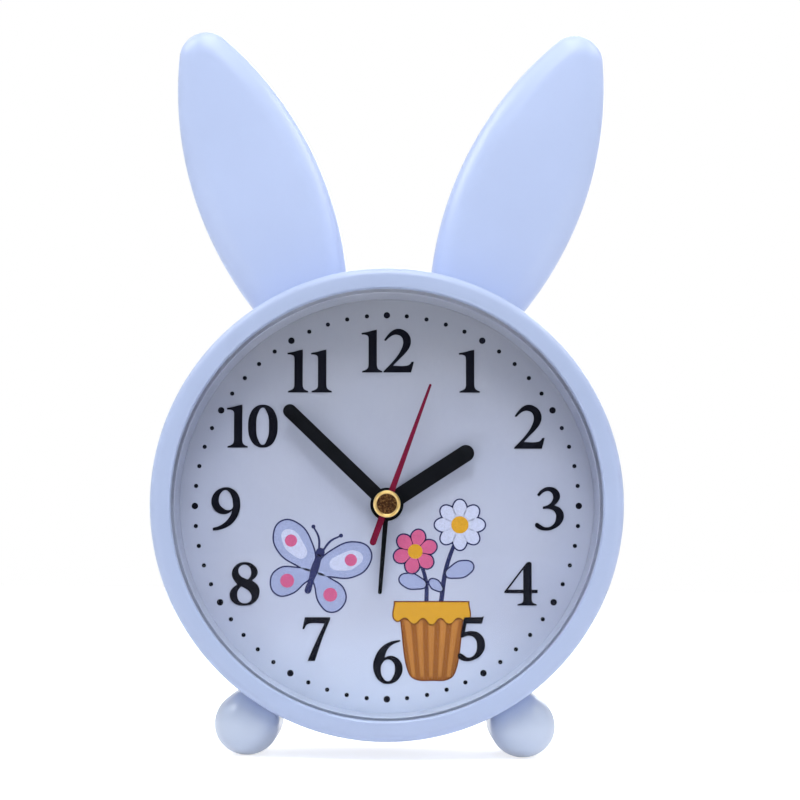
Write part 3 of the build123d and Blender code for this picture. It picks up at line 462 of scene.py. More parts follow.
# Painted shade on the ring's inner wall: lighter at the bottom where light reaches in, darker through the
# middle and top
painted_ring_shade = (
    (0.0, (0.46, 0.52, 0.66)),
    (0.3, (0.34, 0.37, 0.48)),
    (0.7, (0.33, 0.36, 0.48)),
    (1.0, (0.42, 0.44, 0.52)),
)
smooth = {"grain": 2200, "relief": 0.012, "drift": 0.025}
finishes = {
    "shell_plastic": moulded("lavender_shell", shell, 0.34, 0.42, coat=0.15, **smooth),
    "clear_window": clear_plastic("clear_window"),
    "ring_plastic": moulded("shaded_lavender_ring", shell, 0.3, 0.42, relief=0.04, drift=0.03, shade_tones=painted_ring_shade),
    "dial_print": card("dial_card", *painted_dial_shade),
    "inner_plastic": moulded("white_inner", (0.80, 0.81, 0.82), 0.42, 0.55),
    "cover_plastic": moulded("lavender_cover", (0.57, 0.65, 0.91), 0.42, 0.56, grain=1900, relief=0.3),
    "knob_plastic": moulded("white_knob", (0.84, 0.86, 0.90), 0.28, 0.4, relief=0.08),
    "hand_black": painted("black_hand", (0.0025, 0.003, 0.005), 0.5, 0.65),
    "hand_red": painted("crimson_hand", (0.12, 0.004, 0.022), 0.4, 0.55),
    "hub_brass": turned_cap("brass_cap"),
    "gear_plastic": moulded("natural_gear", (0.83, 0.81, 0.72), 0.36, 0.5),
    "magnet_grey": metal("sintered_magnet", (0.13, 0.13, 0.14), 0.5, 0.7),
    "motor_steel": metal("stamped_steel", (0.58, 0.59, 0.61), 0.3, 0.45, (0.1, 1.0, 1.0)),
    "winding_copper": wound_wire("copper_wire", (0.72, 0.34, 0.14)),
    "board_green": circuit("green_board", (0.04, 0.22, 0.10)),
    "part_black": moulded("black_part", (0.03, 0.03, 0.034), 0.4, 0.55, drift=0.2),
    "contact_steel": metal("plated_strip", (0.68, 0.68, 0.66), 0.22, 0.36, (0.1, 1.0, 1.0)),
    "cell_sleeve": cell_skin("cell_sleeve", (0.10, 0.17, 0.23), (0.46, 0.48, 0.50)),
    "screw_steel": metal("plated_screw", (0.62, 0.62, 0.64), 0.25, 0.4),
}
# A darker copy of the shell plastic for the drum: painted shade
shaded_drum_finish = moulded("shaded_lavender_drum", shaded_drum_shell, 0.34, 0.42, coat=0.15, **smooth)
# A paler copy of the shell plastic for the feet: painted light
bounce_lit_foot_finish = moulded("bounce_lit_pale_foot", bounce_lit_foot_shell, 0.3, 0.38, coat=0.25, **smooth)
inks = {
    "navy": printed("ink_navy", (0.003, 0.0035, 0.009)),
    "outline": printed("ink_outline", (0.028, 0.032, 0.10)),
    "mist": printed("ink_mist", (0.29, 0.33, 0.52)),
    "pale": printed("ink_pale", (0.47, 0.50, 0.66)),
    "rust": printed("ink_rust", (0.27, 0.095, 0.022)),
    "umber": printed("ink_umber", (0.15, 0.045, 0.014)),
    "copper": printed("ink_copper", (0.42, 0.17, 0.04)),
    "gold": printed("ink_gold", (0.56, 0.29, 0.025)),
    "pink": printed("ink_pink", (0.50, 0.10, 0.22)),
}
for slot, members in {
    "shell_plastic": "front_housing left_ear right_ear left_foot right_foot",
    "clear_window": "lens",
    "ring_plastic": "dial_ring",
    "dial_print": "dial_card",
    "inner_plastic": "dial_plate movement_front_plate movement_rear_case",
    "cover_plastic": "rear_cover battery_door",
    "knob_plastic": "time_knob alarm_knob alarm_switch",
    "hand_black": "alarm_hand hour_hand minute_hand",
    "hand_red": "second_hand",
    "hub_brass": "second_hand_hub",
    "gear_plastic": "alarm_wheel hour_wheel motion_wheel minute_pipe center_wheel third_wheel second_wheel "
    "intermediate_wheel rotor_pinion time_stem alarm_stem coil_bobbin",
    "magnet_grey": "rotor_magnet",
    "motor_steel": "stator quartz_crystal",
    "winding_copper": "coil_winding",
    "board_green": "circuit_board",
    "part_black": "chip buzzer",
    "contact_steel": "switch_contact alarm_contact_spring positive_contact negative_contact",
    "cell_sleeve": "battery",
    "screw_steel": "foot_screws movement_screws rear_cover_screws",
}.items():
    for node in members.split():
        for holder in nodes[node].material_slots:
            holder.material = finishes[slot]


# Turned pieces


def turning_tree():
    """Turns a row of points, depth and radius, round an axis that runs from front to back.

    Points that reach beyond the grip are cut by a number of flutes.
    """
    kinds = {"Segments": "Int", "Flutes": "Int", "Flute Depth": "Float", "Grip": "Float"}
    tree, given = form_tree("turned_form", kinds | {"Centre": "Vector", "Finish": "Material"})
    count = add(tree, "GeometryNodeAttributeDomainSize", {0: given["Geometry"]}).outputs["Point Count"]
    columns = sums(tree, "ADD", given["Segments"], 1.0)
    sheet = add(tree, "GeometryNodeMeshGrid", {"Vertices X": columns, "Vertices Y": count}).outputs["Mesh"]
    index = add(tree, "GeometryNodeInputIndex").outputs[0]
    row = sums(tree, "MODULO", index, count)
    column = sums(tree, "FLOOR", sums(tree, "DIVIDE", sums(tree, "ADD", index, 0.5), count))
    angle = sums(tree, "DIVIDE", sums(tree, "MULTIPLY", column, 2 * pi), given["Segments"])
    sample = add(tree, "GeometryNodeSampleIndex", data_type="FLOAT_VECTOR", domain="POINT")
    tree.links.new(given["Geometry"], sample.inputs["Geometry"])
    tree.links.new(add(tree, "GeometryNodeInputPosition").outputs[0], sample.inputs["Value"])
    tree.links.new(row, sample.inputs["Index"])
    station = add(tree, "ShaderNodeSeparateXYZ", {0: sample.outputs["Value"]}).outputs
    wave = sums(tree, "COSINE", sums(tree, "MULTIPLY", angle, given["Flutes"]))
    cut = sums(tree, "MULTIPLY", sums(tree, "MULTIPLY_ADD", wave, -0.5, 0.5), given["Flute Depth"])
    gripped = sums(tree, "GREATER_THAN", station["Y"], given["Grip"])
    reach = sums(tree, "SUBTRACT", station["Y"], sums(tree, "MULTIPLY", cut, gripped))
    across = sums(tree, "MULTIPLY", reach, sums(tree, "COSINE", angle))
    up = sums(tree, "MULTIPLY", reach, sums(tree, "SINE", angle))
    place = add(tree, "ShaderNodeCombineXYZ", {0: across, 1: station["X"], 2: up}).outputs[0]
    moved = add(tree, "ShaderNodeVectorMath", {0: place, 1: given["Centre"]}, operation="ADD").outputs[0]
    turned = add(tree, "GeometryNodeSetPosition", {"Geometry": sheet, "Position": moved})
    closed = add(tree, "GeometryNodeMergeByDistance", {"Geometry": turned.outputs[0], "Distance": weld * MM})
    close_tree(tree, closed.outputs[0], given["Finish"])
    return tree


turning = turning_tree()


def rounded(corners, step=11.0):
    """Points of a closed outline; each corner is depth, radius and the radius of its rounding."""
    points = []
    for here, (depth, reach, bend) in enumerate(corners):
        corner = Vector((depth, reach))
        before = (Vector(corners[here - 1][:2]) - corner).normalized()
        after = (Vector(corners[(here + 1) % len(corners)][:2]) - corner).normalized()
        if bend == 0:
            points.append(corner)
            continue
        half = before.angle(after) / 2
        middle = corner + (before + after).normalized() * bend / sin(half)
        start = corner + before * bend / abs(sin(half) / cos(half)) - middle
        end = corner + after * bend / abs(sin(half) / cos(half)) - middle
        swing = atan2(start.x * end.y - start.y * end.x, start.dot(end))
        steps = max(2, ceil(abs(swing) / radians(step)))
        for part in range(steps + 1):
            points.append(middle + Matrix.Rotation(swing * part / steps, 2) @ start)
    return points + [points[0]]


def turned(name, outline, finish, segments=192, place=(0.0, 0.0), flutes=0, flute_depth=0.0, grip=0.0):
    """A turned piece from its outline."""
    row = bpy.data.meshes.new(name)
    row.from_pydata([(depth * MM, reach * MM, 0.0) for depth, reach in outline], [], [])
    sizes = {"Segments": segments, "Flutes": flutes, "Flute Depth": flute_depth * MM, "Grip": grip * MM}
    piece = grow(name, row, turning, **sizes, Centre=spot(*place, 0), Finish=finish)
    return settle(piece)


drum = turned(
    "drum",
    rounded(
        [
            (0, rim_opening, rim_opening_round),
            (0, rim_radius, rim_round),
            (drum_depth, rim_radius, drum_back_round),
            (drum_depth, cover_seat, cover_seat_round),
            (cover_front, cover_seat, 0),
            (cover_front, bore_radius, 0),
            (lens_front, bore_radius, 0),
            (lens_front, rim_opening, lip_round),
        ]
    ),
    shaded_drum_finish,
)
fit(drum, "case", "shell_plastic", "front_housing")

window_edge = rounded(
    [
        (lens_front, seat_radius, lens_round),
        (lens_back, seat_radius, lens_round),
        (lens_back, 0, 0),
        (lens_front, 0, 0),
    ]
)
window_outline = [(lens_front, 0), *window_edge[:-3], (lens_back, 0)]
window = turned("window", window_outline, finishes["clear_window"])
fit(window, "case", "clear_window", "lens")

ring = turned(
    "ring",
    rounded(
        [
            (lens_back, ring_front, ring_front_round),
            (lens_back, ring_front + ring_lip, ring_lip_round),
            (lens_back + ring_gap_depth, ring_front + ring_lip, 0),
            (lens_back + ring_gap_depth, seat_radius, 0),
            (card_front, seat_radius, 0),
            (card_front, rim_opening - ring_back_inset, ring_back_round),
        ]
    ),
    finishes["ring_plastic"],
)
fit(ring, "case", "ring_plastic", "dial_ring")

cap_front = (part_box("second_hand_hub")[0].y - front_y) / MM
cap_back = (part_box("second_hand_hub")[1].y - front_y) / MM
arbor_front = (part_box("second_wheel")[0].y - front_y) / MM
cap_bead = []
for step in range(11):
    swing = pi * step / 12
    cap_bead.append((cap_bead_height * (1 - sin(swing)), cap_bead_radius - cap_bead_half * cos(swing)))
cap_face = [*cap_middle, *cap_bead, *cap_skirt, (cap_thickness, neck_radius)]
cap_outline = [(cap_front + depth, reach) for depth, reach in cap_face]
cap_outline += [(cap_back, neck_radius), (cap_back, arbor_radius)]
cap_outline += [(arbor_front, arbor_radius), (arbor_front, 0.0)]
cap = turned("brass_cap", cap_outline, finishes["hub_brass"], 96)
fit(cap, "second_hand", "hub_brass", "second_hand_hub")

for node in ("time_knob", "alarm_knob"):
    low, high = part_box(node)
    place = ((low.x + high.x) / 2 / MM, ((low.z + high.z) / 2 - axis_z) / MM)
    neck_front, back = (low.y - front_y) / MM, (high.y - front_y) / MM
    front = back - knob_thickness
    bore_end = back - knob_thickness / 2
    outline = [(bore_end, 0.0), (bore_end, stem_radius), (neck_front, stem_radius), (neck_front, knob_neck)]
    outline += [(front, knob_neck), (front, knob_radius - knob_bevel), (front + knob_bevel, knob_radius)]
    for step in range(9):
        swing = step * pi / 16
        outline.append((back - knob_edge * (1 - sin(swing)), knob_radius - knob_edge * (1 - cos(swing))))
    outline += [(back - depth, reach) for depth, reach in knob_dish]
    knob = turned(
        node.replace("knob", "fluted_knob"),
        outline,
        finishes["knob_plastic"],
        segments=280,
        place=place,
        flutes=knob_flutes,
        flute_depth=knob_flute_depth,
        grip=knob_grip,
    )
    fit(knob, node, "knob_plastic", node)

for side, turn in {"left": 180 + foot_turn, "right": 180 - foot_turn}.items():
    place = (foot_reach * sin(radians(turn)), foot_reach * cos(radians(turn)))
    outline = []
    for step in range(17):
        swing = step * pi / 32
        outline.append((foot_front + foot_radius * (1 - cos(swing)), foot_radius * sin(swing)))
    outline += [(drum_depth - depth, reach) for depth, reach in reversed(outline)]
    foot = turned(side + "_round_foot", outline, bounce_lit_foot_finish, 96, place)
    centre_z = axis_z + place[1] * MM
    for point in foot.data.vertices:
        if point.co.z < centre_z:
            point.co.z = max(centre_z - (centre_z - point.co.z) * foot_press, 0.0)
    fit(foot, "case", "shell_plastic", side + "_foot")


# Ears


def ear_station(share, inset):
    """A point on one half of the ear's outline, set in by a distance; share 0 is the root, 1 the tip."""
    offset = ear_side_radius - ear_half_width
    tip_middle = ear_widest + sqrt((ear_side_radius - ear_tip_radius) ** 2 - offset**2)
    side = ear_side_radius - inset
    low = asin((ear_root - ear_widest) / side)
    high = atan2(tip_middle - ear_widest, offset)
    split = 0.72
    if share <= split:
        angle = low + (high - low) * share / split
        return side * cos(angle) - offset, ear_widest + side * sin(angle)
    angle = high + (pi / 2 - high) * (share - split) / (1 - split)
    tip = ear_tip_radius - inset
    return tip * cos(angle), tip_middle + tip * sin(angle)


def ear_half_depth(across, reach):
    """Half the thickness of an ear at a place on its face: thinner to the tip, and crowned across."""
    tip_reach = ear_station(1.0, 0.0)[1]
    share = (reach - ear_base) / (tip_reach - ear_base)
    thickness = ear_base_thickness + (ear_tip_thickness - ear_base_thickness) * share
    return thickness / 2 - ear_crown * thickness / ear_base_thickness * (across / (ear_half_width + 1)) ** 2


def ear(name, turn, stations=72, columns=28, bends=12):
    """A leaf-shaped ear with a rounded edge, rooted in the drum wall."""
    spin = radians(turn)
    shape = bmesh.new()

    def point(across, reach, depth):
        right = across * cos(spin) + reach * sin(spin)
        above = reach * cos(spin) - across * sin(spin)
        return shape.verts.new(spot(right, above, ear_depth + depth))

    shares = [step / stations for step in range(stations + 1)]
    loops = []
    for face in (-1, 1):
        rings = []
        for bend in range(bends + 1):
            swing = bend * pi / 2 / bends
            inset = ear_edge * (1 - cos(swing))
            half = [ear_station(share, inset) for share in shares]
            path = half + [(-across, reach) for across, reach in reversed(half[:-1])]
            loop = []
            for x, reach in path:
                rise = (ear_half_depth(x, reach) - ear_side_flat) * sin(swing)
                loop.append(point(x, reach, face * (ear_side_flat + rise)))
            rings.append(loop)
        loops += rings[::-1] if face < 0 else rings
        edge = rings[-1]
        rows = []
        for row in range(stations):
            right, left = edge[row], edge[-1 - row]
            across, reach = ear_station(shares[row], ear_edge)
            inner = []
            for column in range(1, columns):
                x = across * (1 - 2 * column / columns)
                inner.append(point(x, reach, face * ear_half_depth(x, reach)))
            rows.append([right] + inner + [left])
        for low, high in zip(rows, rows[1:]):
            for column in range(columns):
                shape.faces.new((low[column], low[column + 1], high[column + 1], high[column]))
        tip = edge[stations]
        for column in range(columns):
            shape.faces.new((rows[-1][column], rows[-1][column + 1], tip))
    for inner, outer in zip(loops, loops[1:]):
        for step in range(len(inner) - 1):
            shape.faces.new((inner[step], inner[step + 1], outer[step + 1], outer[step]))
    bmesh.ops.remove_doubles(shape, verts=shape.verts, dist=weld * MM)
    bmesh.ops.holes_fill(shape, edges=[edge for edge in shape.edges if edge.is_boundary], sides=0)
    mesh = bpy.data.meshes.new(name)
    shape.to_mesh(mesh)
    shape.free()
    mesh.materials.append(finishes["shell_plastic"])
    return settle(stand(name, mesh), 40)


fit(ear("left_leaf_ear", -ear_turn), "case", "shell_plastic", "left_ear")
fit(ear("right_leaf_ear", ear_turn), "case", "shell_plastic", "right_ear")


# Dial print


def dot_tree():
    """A ring of round dots, with every fifth one larger, on a plane that faces the viewer."""
    kinds = {"Count": "Int", "Track": "Float", "Small": "Float", "Large": "Float", "Thickness": "Float"}
    tree, given = form_tree("minute_dots", kinds | {"Centre": "Vector", "Finish": "Material"})
    track = add(tree, "GeometryNodeMeshCircle", {"Vertices": given["Count"], "Radius": given["Track"]})
    disc = add(tree, "GeometryNodeMeshCylinder", {"Vertices": 28, "Radius": 1.0, "Depth": given["Thickness"]})
    index = add(tree, "GeometryNodeInputIndex").outputs[0]
    fifth = sums(tree, "COMPARE", sums(tree, "MODULO", index, 5.0), 0.0, 0.1)
    gain = sums(tree, "SUBTRACT", given["Large"], given["Small"])
    size = sums(tree, "MULTIPLY_ADD", fifth, gain, given["Small"])
    scale = add(tree, "ShaderNodeCombineXYZ", {0: size, 1: size, 2: 1.0}).outputs[0]
    dots = add(
        tree,
        "GeometryNodeInstanceOnPoints",
        {"Points": track.outputs[0], "Instance": disc.outputs[0], "Scale": scale},
    )
    turn = (pi / 2, -radians(print_turn), 0.0)
    upright = add(
        tree,
        "GeometryNodeTransform",
        {"Geometry": dots.outputs[0], "Rotation": turn, "Translation": given["Centre"]},
    )
    close_tree(tree, upright.outputs[0], given["Finish"])
    return tree


dots = grow(
    "minute_dots",
    bpy.data.meshes.new("minute_dots"),
    dot_tree(),
    Count=60,
    Track=dot_track * MM,
    Small=dot_small * MM,
    Large=dot_large * MM,
    Thickness=2 * ink * MM,
    Centre=spot(*print_shift, card_front),
    Finish=inks["navy"],
)
settle(dots)
fit(dots, "case", "dial_print")

# Outlines of the numerals, a hundred units high. A third value marks a corner, and other points are smooth.
C = 1
digits = {
    "0": [
        [(34.4, 100), (50, 96), (62.3, 82), (68.7, 50), (62.3, 18), (50, 4), (34.4, 0), (18.8, 4),
         (6.4, 18), (0, 50), (6.4, 82), (18.8, 96)],
        [(34, 92.8), (24, 82), (19, 50), (24, 18), (34, 6.9), (43.6, 18), (48.4, 50), (43.6, 82)],
    ],
    "1": [
        [(35.8, 100, C), (35.8, 17, C), (37.6, 10.5), (42, 6), (48.5, 3.5, C), (48.5, 0, C), (1.5, 0, C),
         (1.5, 3.5, C), (9, 6), (14.6, 10.5), (16.5, 17, C), (16.5, 78, C), (15.4, 84), (10, 87.6),
         (0.5, 88.5, C), (0, 92.3, C), (15, 95), (27, 98.4)],
    ],
    "2": [
        [(1.2, 75.6, C), (9.7, 87.3), (20.9, 97.8), (34.3, 102.2), (49.3, 97.8), (60.4, 86.6),
         (63.9, 71.6), (60.4, 58.2), (50.7, 44.8), (37.3, 31.3), (22.6, 16, C), (53.7, 16), (60.4, 18.7),
         (65.4, 25.2, C), (70.9, 25.2, C), (64.2, 0, C), (0, 0, C), (0, 2.8, C), (17.9, 21.4),
         (31.3, 37.3), (40.3, 52.2), (45.3, 65.7), (45.3, 75), (41, 83.6), (32.8, 87.6), (23.9, 87.3),
         (14.9, 82.4), (5.2, 73.4, C)],
    ],
    "3": [
        [(5, 82.6, C), (15.3, 94.2), (33.9, 100.9), (51.6, 94.4), (58.6, 79.7), (54.4, 67.8),
         (45.6, 58.4, C), (59.3, 51.6), (67.1, 36.3), (61, 17), (44, 4), (23.7, 0), (5.6, 5.6), (0, 12.6),
         (4.4, 18), (12.2, 13.8), (25.4, 7.8), (40.2, 12.4), (48.6, 28), (46.6, 42.2), (37.3, 49.2),
         (18.6, 49.8, C), (18.6, 55.4, C), (30.5, 59.3), (40.2, 68.8), (42, 80.8), (35, 90), (22, 89),
         (10.2, 78.6, C)],
    ],
    "4": [
        [(51.5, 98.4, C), (58, 100.5), (63.3, 97.5, C), (63.3, 36.5, C), (77, 36.5, C), (77, 28.5, C),
         (63.3, 28.5, C), (63.3, 13, C), (65, 8), (69, 5), (74.5, 3.2, C), (74.5, 0, C), (30.5, 0, C),
         (30.5, 3.2, C), (37.5, 5), (42, 8), (43.8, 13, C), (43.8, 28.5, C), (0.5, 28.5, C), (0, 32, C)],
        [(8.8, 36.5, C), (43.8, 36.5, C), (43.8, 82.5, C)],
    ],
    "5": [
        [(13, 100, C), (52, 100, C), (58.5, 102.6, C), (53.5, 85.5, C), (18.6, 85.5, C), (14.6, 66.2, C),
         (29, 68.6), (49, 62.5), (60.6, 40.5), (54, 17), (35, 2.6), (15, -0.4), (1.2, 5.2), (-2.4, 12.4),
         (2.4, 18), (10, 14.8), (22, 8), (35.4, 14), (42.2, 34), (37, 51.5), (24, 57.8), (8.4, 53, C),
         (4.2, 54.4, C)],
    ],
    "6": [
        [(62.3, 100.4, C), (63.1, 96.4, C), (46.9, 90.2), (34, 78.4), (27, 60.2, C), (38.5, 64),
         (51, 61.8), (63.2, 51.4), (68.3, 34.4), (62.7, 15.8), (49.5, 3.2), (33.6, -0.4), (17.7, 4.4),
         (5.4, 19.8), (0.6, 40.6), (5.2, 61.5), (17.7, 81.3), (38.5, 95.4)],
        [(33.4, 55.2), (21.6, 46.4), (18.1, 31.8), (22.8, 14.8), (35.2, 6), (47.2, 18.6), (50.6, 34.4),
         (46.4, 49.2)],
    ],
    "7": [
        [(6, 100, C), (64.5, 100, C), (64.5, 95.2, C), (50.5, 62), (39.4, 31), (29.6, 0, C), (12.4, 0, C),
         (25.6, 31), (38, 58), (51, 85.6, C), (18, 85.6), (10.6, 82.6), (4.8, 72.8, C), (0.4, 72.8, C)],
    ],
    "8": [
        [(34.4, 100), (54.1, 93.9), (64.1, 78.6), (60.8, 66.6), (51.4, 57.8, C), (65, 46.2), (68.7, 30.6),
         (58.7, 8.6), (33.4, 0), (10, 5.6), (0, 24.4), (4.6, 38.2), (17, 48.4, C), (8.2, 60.6),
         (4.6, 75.6), (14.6, 93.2)],
        [(34.4, 93.8), (23, 88.6), (19.8, 80), (25, 68.4), (41.6, 60, C), (48.2, 69), (48.6, 80),
         (44, 89.4)],
        [(26.4, 44, C), (18.6, 33.4), (18, 19), (24, 9), (35, 5.4), (46.2, 9.4), (50.4, 19.4),
         (45.4, 31.6)],
    ],
    "9": [
        [(34, 100), (47.9, 96.8), (61.4, 84.2), (66.9, 64), (63.7, 40.6), (52.8, 20.8), (35.9, 7.6),
         (16.1, 1.2), (4.2, 0, C), (3.6, 6.2, C), (19.1, 11.2), (34, 21.6), (44.4, 35.6), (47.8, 45.6, C),
         (39.9, 40.2), (29.4, 37.6), (16.1, 40.8), (5, 51.1), (0.2, 66), (3.7, 81.9), (16.1, 95)],
        [(32.5, 93.3), (23, 87.6), (17.6, 74), (19.3, 61.6), (28, 51.6), (39.4, 47.4), (48.4, 51.6),
         (49.4, 66), (46.7, 79), (40.2, 89.6)],
    ],
}
pairs = {"11": 54.7, "12": 51.0, "10": 49.0}
numeral_places = {
    "12": (0.2, 36.3), "1": (19.3, 31.55), "2": (33.3, 18.4), "3": (37.85, -0.7),
    "4": (31.15, -18.1), "5": (19.7, -30.9), "6": (0.2, -36.15), "7": (-16.4, -30.9),
    "8": (-33.05, -18.1), "9": (-37.55, -0.7), "10": (-31.45, 18.65), "11": (-18.1, 31.6),
}


def filled(outlines, swell):
    """A thin filled plate from one outline and its holes, or from one outline grown by a swell."""
    drawing = bpy.data.curves.new("outline", "CURVE")
    drawing.dimensions = "2D"
    drawing.fill_mode = "BOTH"
    drawing.resolution_u = 10
    drawing.offset = swell
    drawing.extrude = ink / 2
    for outline in outlines:
        area = sum(a[0] * b[1] - b[0] * a[1] for a, b in zip(outline, outline[1:] + outline[:1]))
        spline = drawing.splines.new("BEZIER")
        spline.bezier_points.add(len(outline) - 1)
        spline.use_cyclic_u = True
        for knot, (across, up, *corner) in zip(spline.bezier_points, outline if area > 0 else outline[::-1]):
            knot.co = (across, up, 0.0)
            knot.handle_left_type = knot.handle_right_type = "VECTOR" if corner else "AUTO"
    holder = stand("outline", drawing)
    graph = bpy.context.evaluated_depsgraph_get()
    mesh = bpy.data.meshes.new_from_object(holder.evaluated_get(graph))
    bpy.data.objects.remove(holder)
    return mesh


def flat_print(name, shapes, finish, layer, swell=0.0):
    """A layer of ink with closed shapes in millimetres on the dial; layers lie one on the next."""
    sheet = bmesh.new()
    for shape in shapes:
        sheet.from_mesh(filled(shape, swell))
    turn = radians(print_turn)
    for point in sheet.verts:
        across, up, height = point.co
        right = across * cos(turn) - up * sin(turn) + print_shift[0]
        above = across * sin(turn) + up * cos(turn) + print_shift[1]
        point.co = spot(right, above, card_front - ink * layer - height)
    mesh = bpy.data.meshes.new(name)
    sheet.to_mesh(mesh)
    sheet.free()
    mesh.materials.append(finish)
    return fit(settle(stand(name, mesh), 20), "case", "dial_print")


def set_numeral(text):
    """Shapes of one numeral at its place."""
    size = numeral_height / 100
    width = pairs.get(text, 0.0) + max(point[0] for point in digits[text[-1]][0])
    across, up = numeral_places[text]
    left, base = across - width * size / 2, up - numeral_height / 2
    figures = []
    for count, digit in enumerate(text):
        start = left + count * pairs.get(text, 0.0) * size
        figure = []
        for outline in digits[digit]:
            figure.append([(start + x * size, base + y * size, *corner) for x, y, *corner in outline])
        figures.append(figure)
    return figures


flat_print("numerals", [shape for text in numeral_places for shape in set_numeral(text)], inks["navy"], 5)


# Generic picture on the lower dial, in millimetres: a moth flies to two flowers in a striped pot.


def placed(outline, middle, turn=0.0, size=1.0, side=1):
    """An outline scaled, turned and moved to its place; side -1 mirrors it."""
    swing = radians(turn)
    moved = []
    for across, up, *corner in outline:
        across, up = across * size * side, up * size
        right = middle[0] + across * cos(swing) - up * sin(swing)
        above = middle[1] + across * sin(swing) + up * cos(swing)
        moved.append((right, above, *corner))
    return moved


def petal(middle, turn, start, length, width):
    """Outline of a petal or leaf that points away from a middle."""
    half = [(0.0, 0.0), (0.3, 0.42), (0.7, 0.5), (1.0, 0.0), (0.7, -0.5), (0.3, -0.42)]
    return placed([(start + out * length, side * width) for out, side in half], middle, turn)


def disc(middle, radius):
    """Outline of a round spot."""
    swings = [step * pi / 4 for step in range(8)]
    return [(middle[0] + radius * cos(swing), middle[1] + radius * sin(swing)) for swing in swings]


def evened(half, lowest):
    """A whole outline from its left half and the point on its middle line."""
    return half + [lowest] + [(-across, *rest) for across, *rest in reversed(half)]


pot_middle = 10.4
pot_waist = -30.0
pot_taper = 0.72
pot_body = evened([(-7.1, -25.8, C), (-5.2, -38.4), (-4.2, -39.7)], (0.0, -40.2))
pot_scallops = [(-8.5, -22.4, C), (-8.2, -26.6), (-6.2, -25.9), (-4.1, -27.3), (-2.0, -26.0)]
pot_rim = evened(pot_scallops, (0.0, -27.5))
stripe_places = (-6.4, -3.6, -0.8, 2.0, 4.8)
pot_stripe = [(0.0, -26.6, C), (1.5, -26.6, C), (1.1, -39.6, C), (0.0, -39.6, C)]
low_stem = [(8.7, -22.6, C), (8.6, -17.4), (6.7, -11.4, C), (7.4, -11.2, C), (9.5, -17.2), (9.7, -22.6, C)]
high_stem = [(12.0, -22.6, C), (13.4, -14.0), (16.5, -6.0, C)]
high_stem += [(17.2, -6.3, C), (14.4, -14.2), (13.1, -22.6, C)]
low_flower, high_flower = (6.6, -10.6), (17.0, -4.4)
moth_middle, moth_turn, moth_size = (-16.8, -14.8), -18.0, 0.94
upper_wing = [(0.4, 1.2), (3.0, 6.2), (7.4, 9.4), (11.4, 8.8)]
upper_wing += [(12.2, 5.0), (9.6, 1.4), (4.8, -0.2), (0.6, -0.4)]
lower_wing = [(0.5, -0.9), (4.6, -1.1), (8.4, -2.6), (9.4, -5.8), (7.0, -8.6), (3.8, -7.4), (1.8, -4.4)]
upper_patch = [(3.2, 2.2), (5.4, 6.0), (8.4, 7.6), (10.4, 6.6), (9.8, 4.2), (7.0, 2.0)]
moth_body = [(0.0, 4.0), (0.9, 1.6), (0.7, -2.5), (0.0, -6.2), (-0.7, -2.5), (-0.9, 1.6)]
feeler = [(0.2, 5.0, C), (1.3, 8.0), (3.3, 10.0, C), (3.6, 9.7, C), (1.8, 7.8), (0.7, 4.8, C)]


def both_wings(outline):
    """An outline on each side of the moth."""
    return [placed(outline, moth_middle, moth_turn, moth_size, side) for side in (1, -1)]


pot = [placed(pot_body, (pot_middle, 0.0))]
rim = [placed(pot_rim, (pot_middle, 0.0))]
stripes = []
for left in stripe_places:
    stripe = []
    for across, up, corner in pot_stripe:
        taper = pot_taper if up < pot_waist else 1.0
        stripe.append((pot_middle + (left + across) * taper, up, corner))
    stripes.append(stripe)
wings = both_wings(upper_wing) + both_wings(lower_wing)
trunk = [placed(outline, moth_middle, moth_turn, moth_size) for outline in (moth_body, disc((0.0, 4.5), 1.1))]
feelers = both_wings(feeler) + both_wings(disc((3.6, 10.0), 0.5))
leaves = [
    petal((13.8, -16.0), 20, 0.0, 6.6, 3.3),
    petal((9.0, -18.4), 165, 0.0, 6.2, 3.1),
    petal((12.8, -19.6), 140, 0.0, 3.6, 1.9),
]
low_petals = [petal(low_flower, turn, 1.2, 3.9, 3.0) for turn in range(18, 378, 60)]
high_petals = [petal(high_flower, turn, 1.4, 4.4, 2.9) for turn in range(0, 360, 45)]
picture = [
    ("wing_lines", wings, "outline", 1, 0.36),
    ("feelers", feelers, "outline", 1, 0.0),
    ("wing_fill", wings, "mist", 2, 0.0),
    ("wing_patches", both_wings(upper_patch), "pale", 3, 0.0),
    ("wing_spots", both_wings(disc((7.8, 5.0), 1.5)) + both_wings(disc((5.6, -4.7), 1.7)), "pink", 4, 0.0),
    ("moth_body", trunk, "outline", 4, 0.0),
    ("stem_lines", [low_stem, high_stem], "outline", 1, 0.0),
    ("leaf_lines", leaves, "outline", 1, 0.34),
    ("leaf_fill", leaves, "mist", 2, 0.0),
    ("pot_lines", pot, "umber", 1, 0.34),
    ("pot_fill", pot, "rust", 2, 0.0),
    ("pot_stripes", stripes, "copper", 3, 0.0),
    ("pot_rim_lines", rim, "umber", 3, 0.3),
    ("pot_rim", rim, "gold", 4, 0.0),
    ("petal_lines", low_petals + high_petals, "outline", 2, 0.34),
    ("low_petals", low_petals, "pink", 3, 0.0),
    ("high_petals", high_petals, "pale", 3, 0.0),
    ("flower_middles", [disc(low_flower, 1.7), disc(high_flower, 2.0)], "gold", 4, 0.0),
]
for name, outlines, colour, layer, swell in picture:
    flat_print("print_" + name, [[outline] for outline in outlines], inks[colour], layer, swell)


# Floor, light and camera

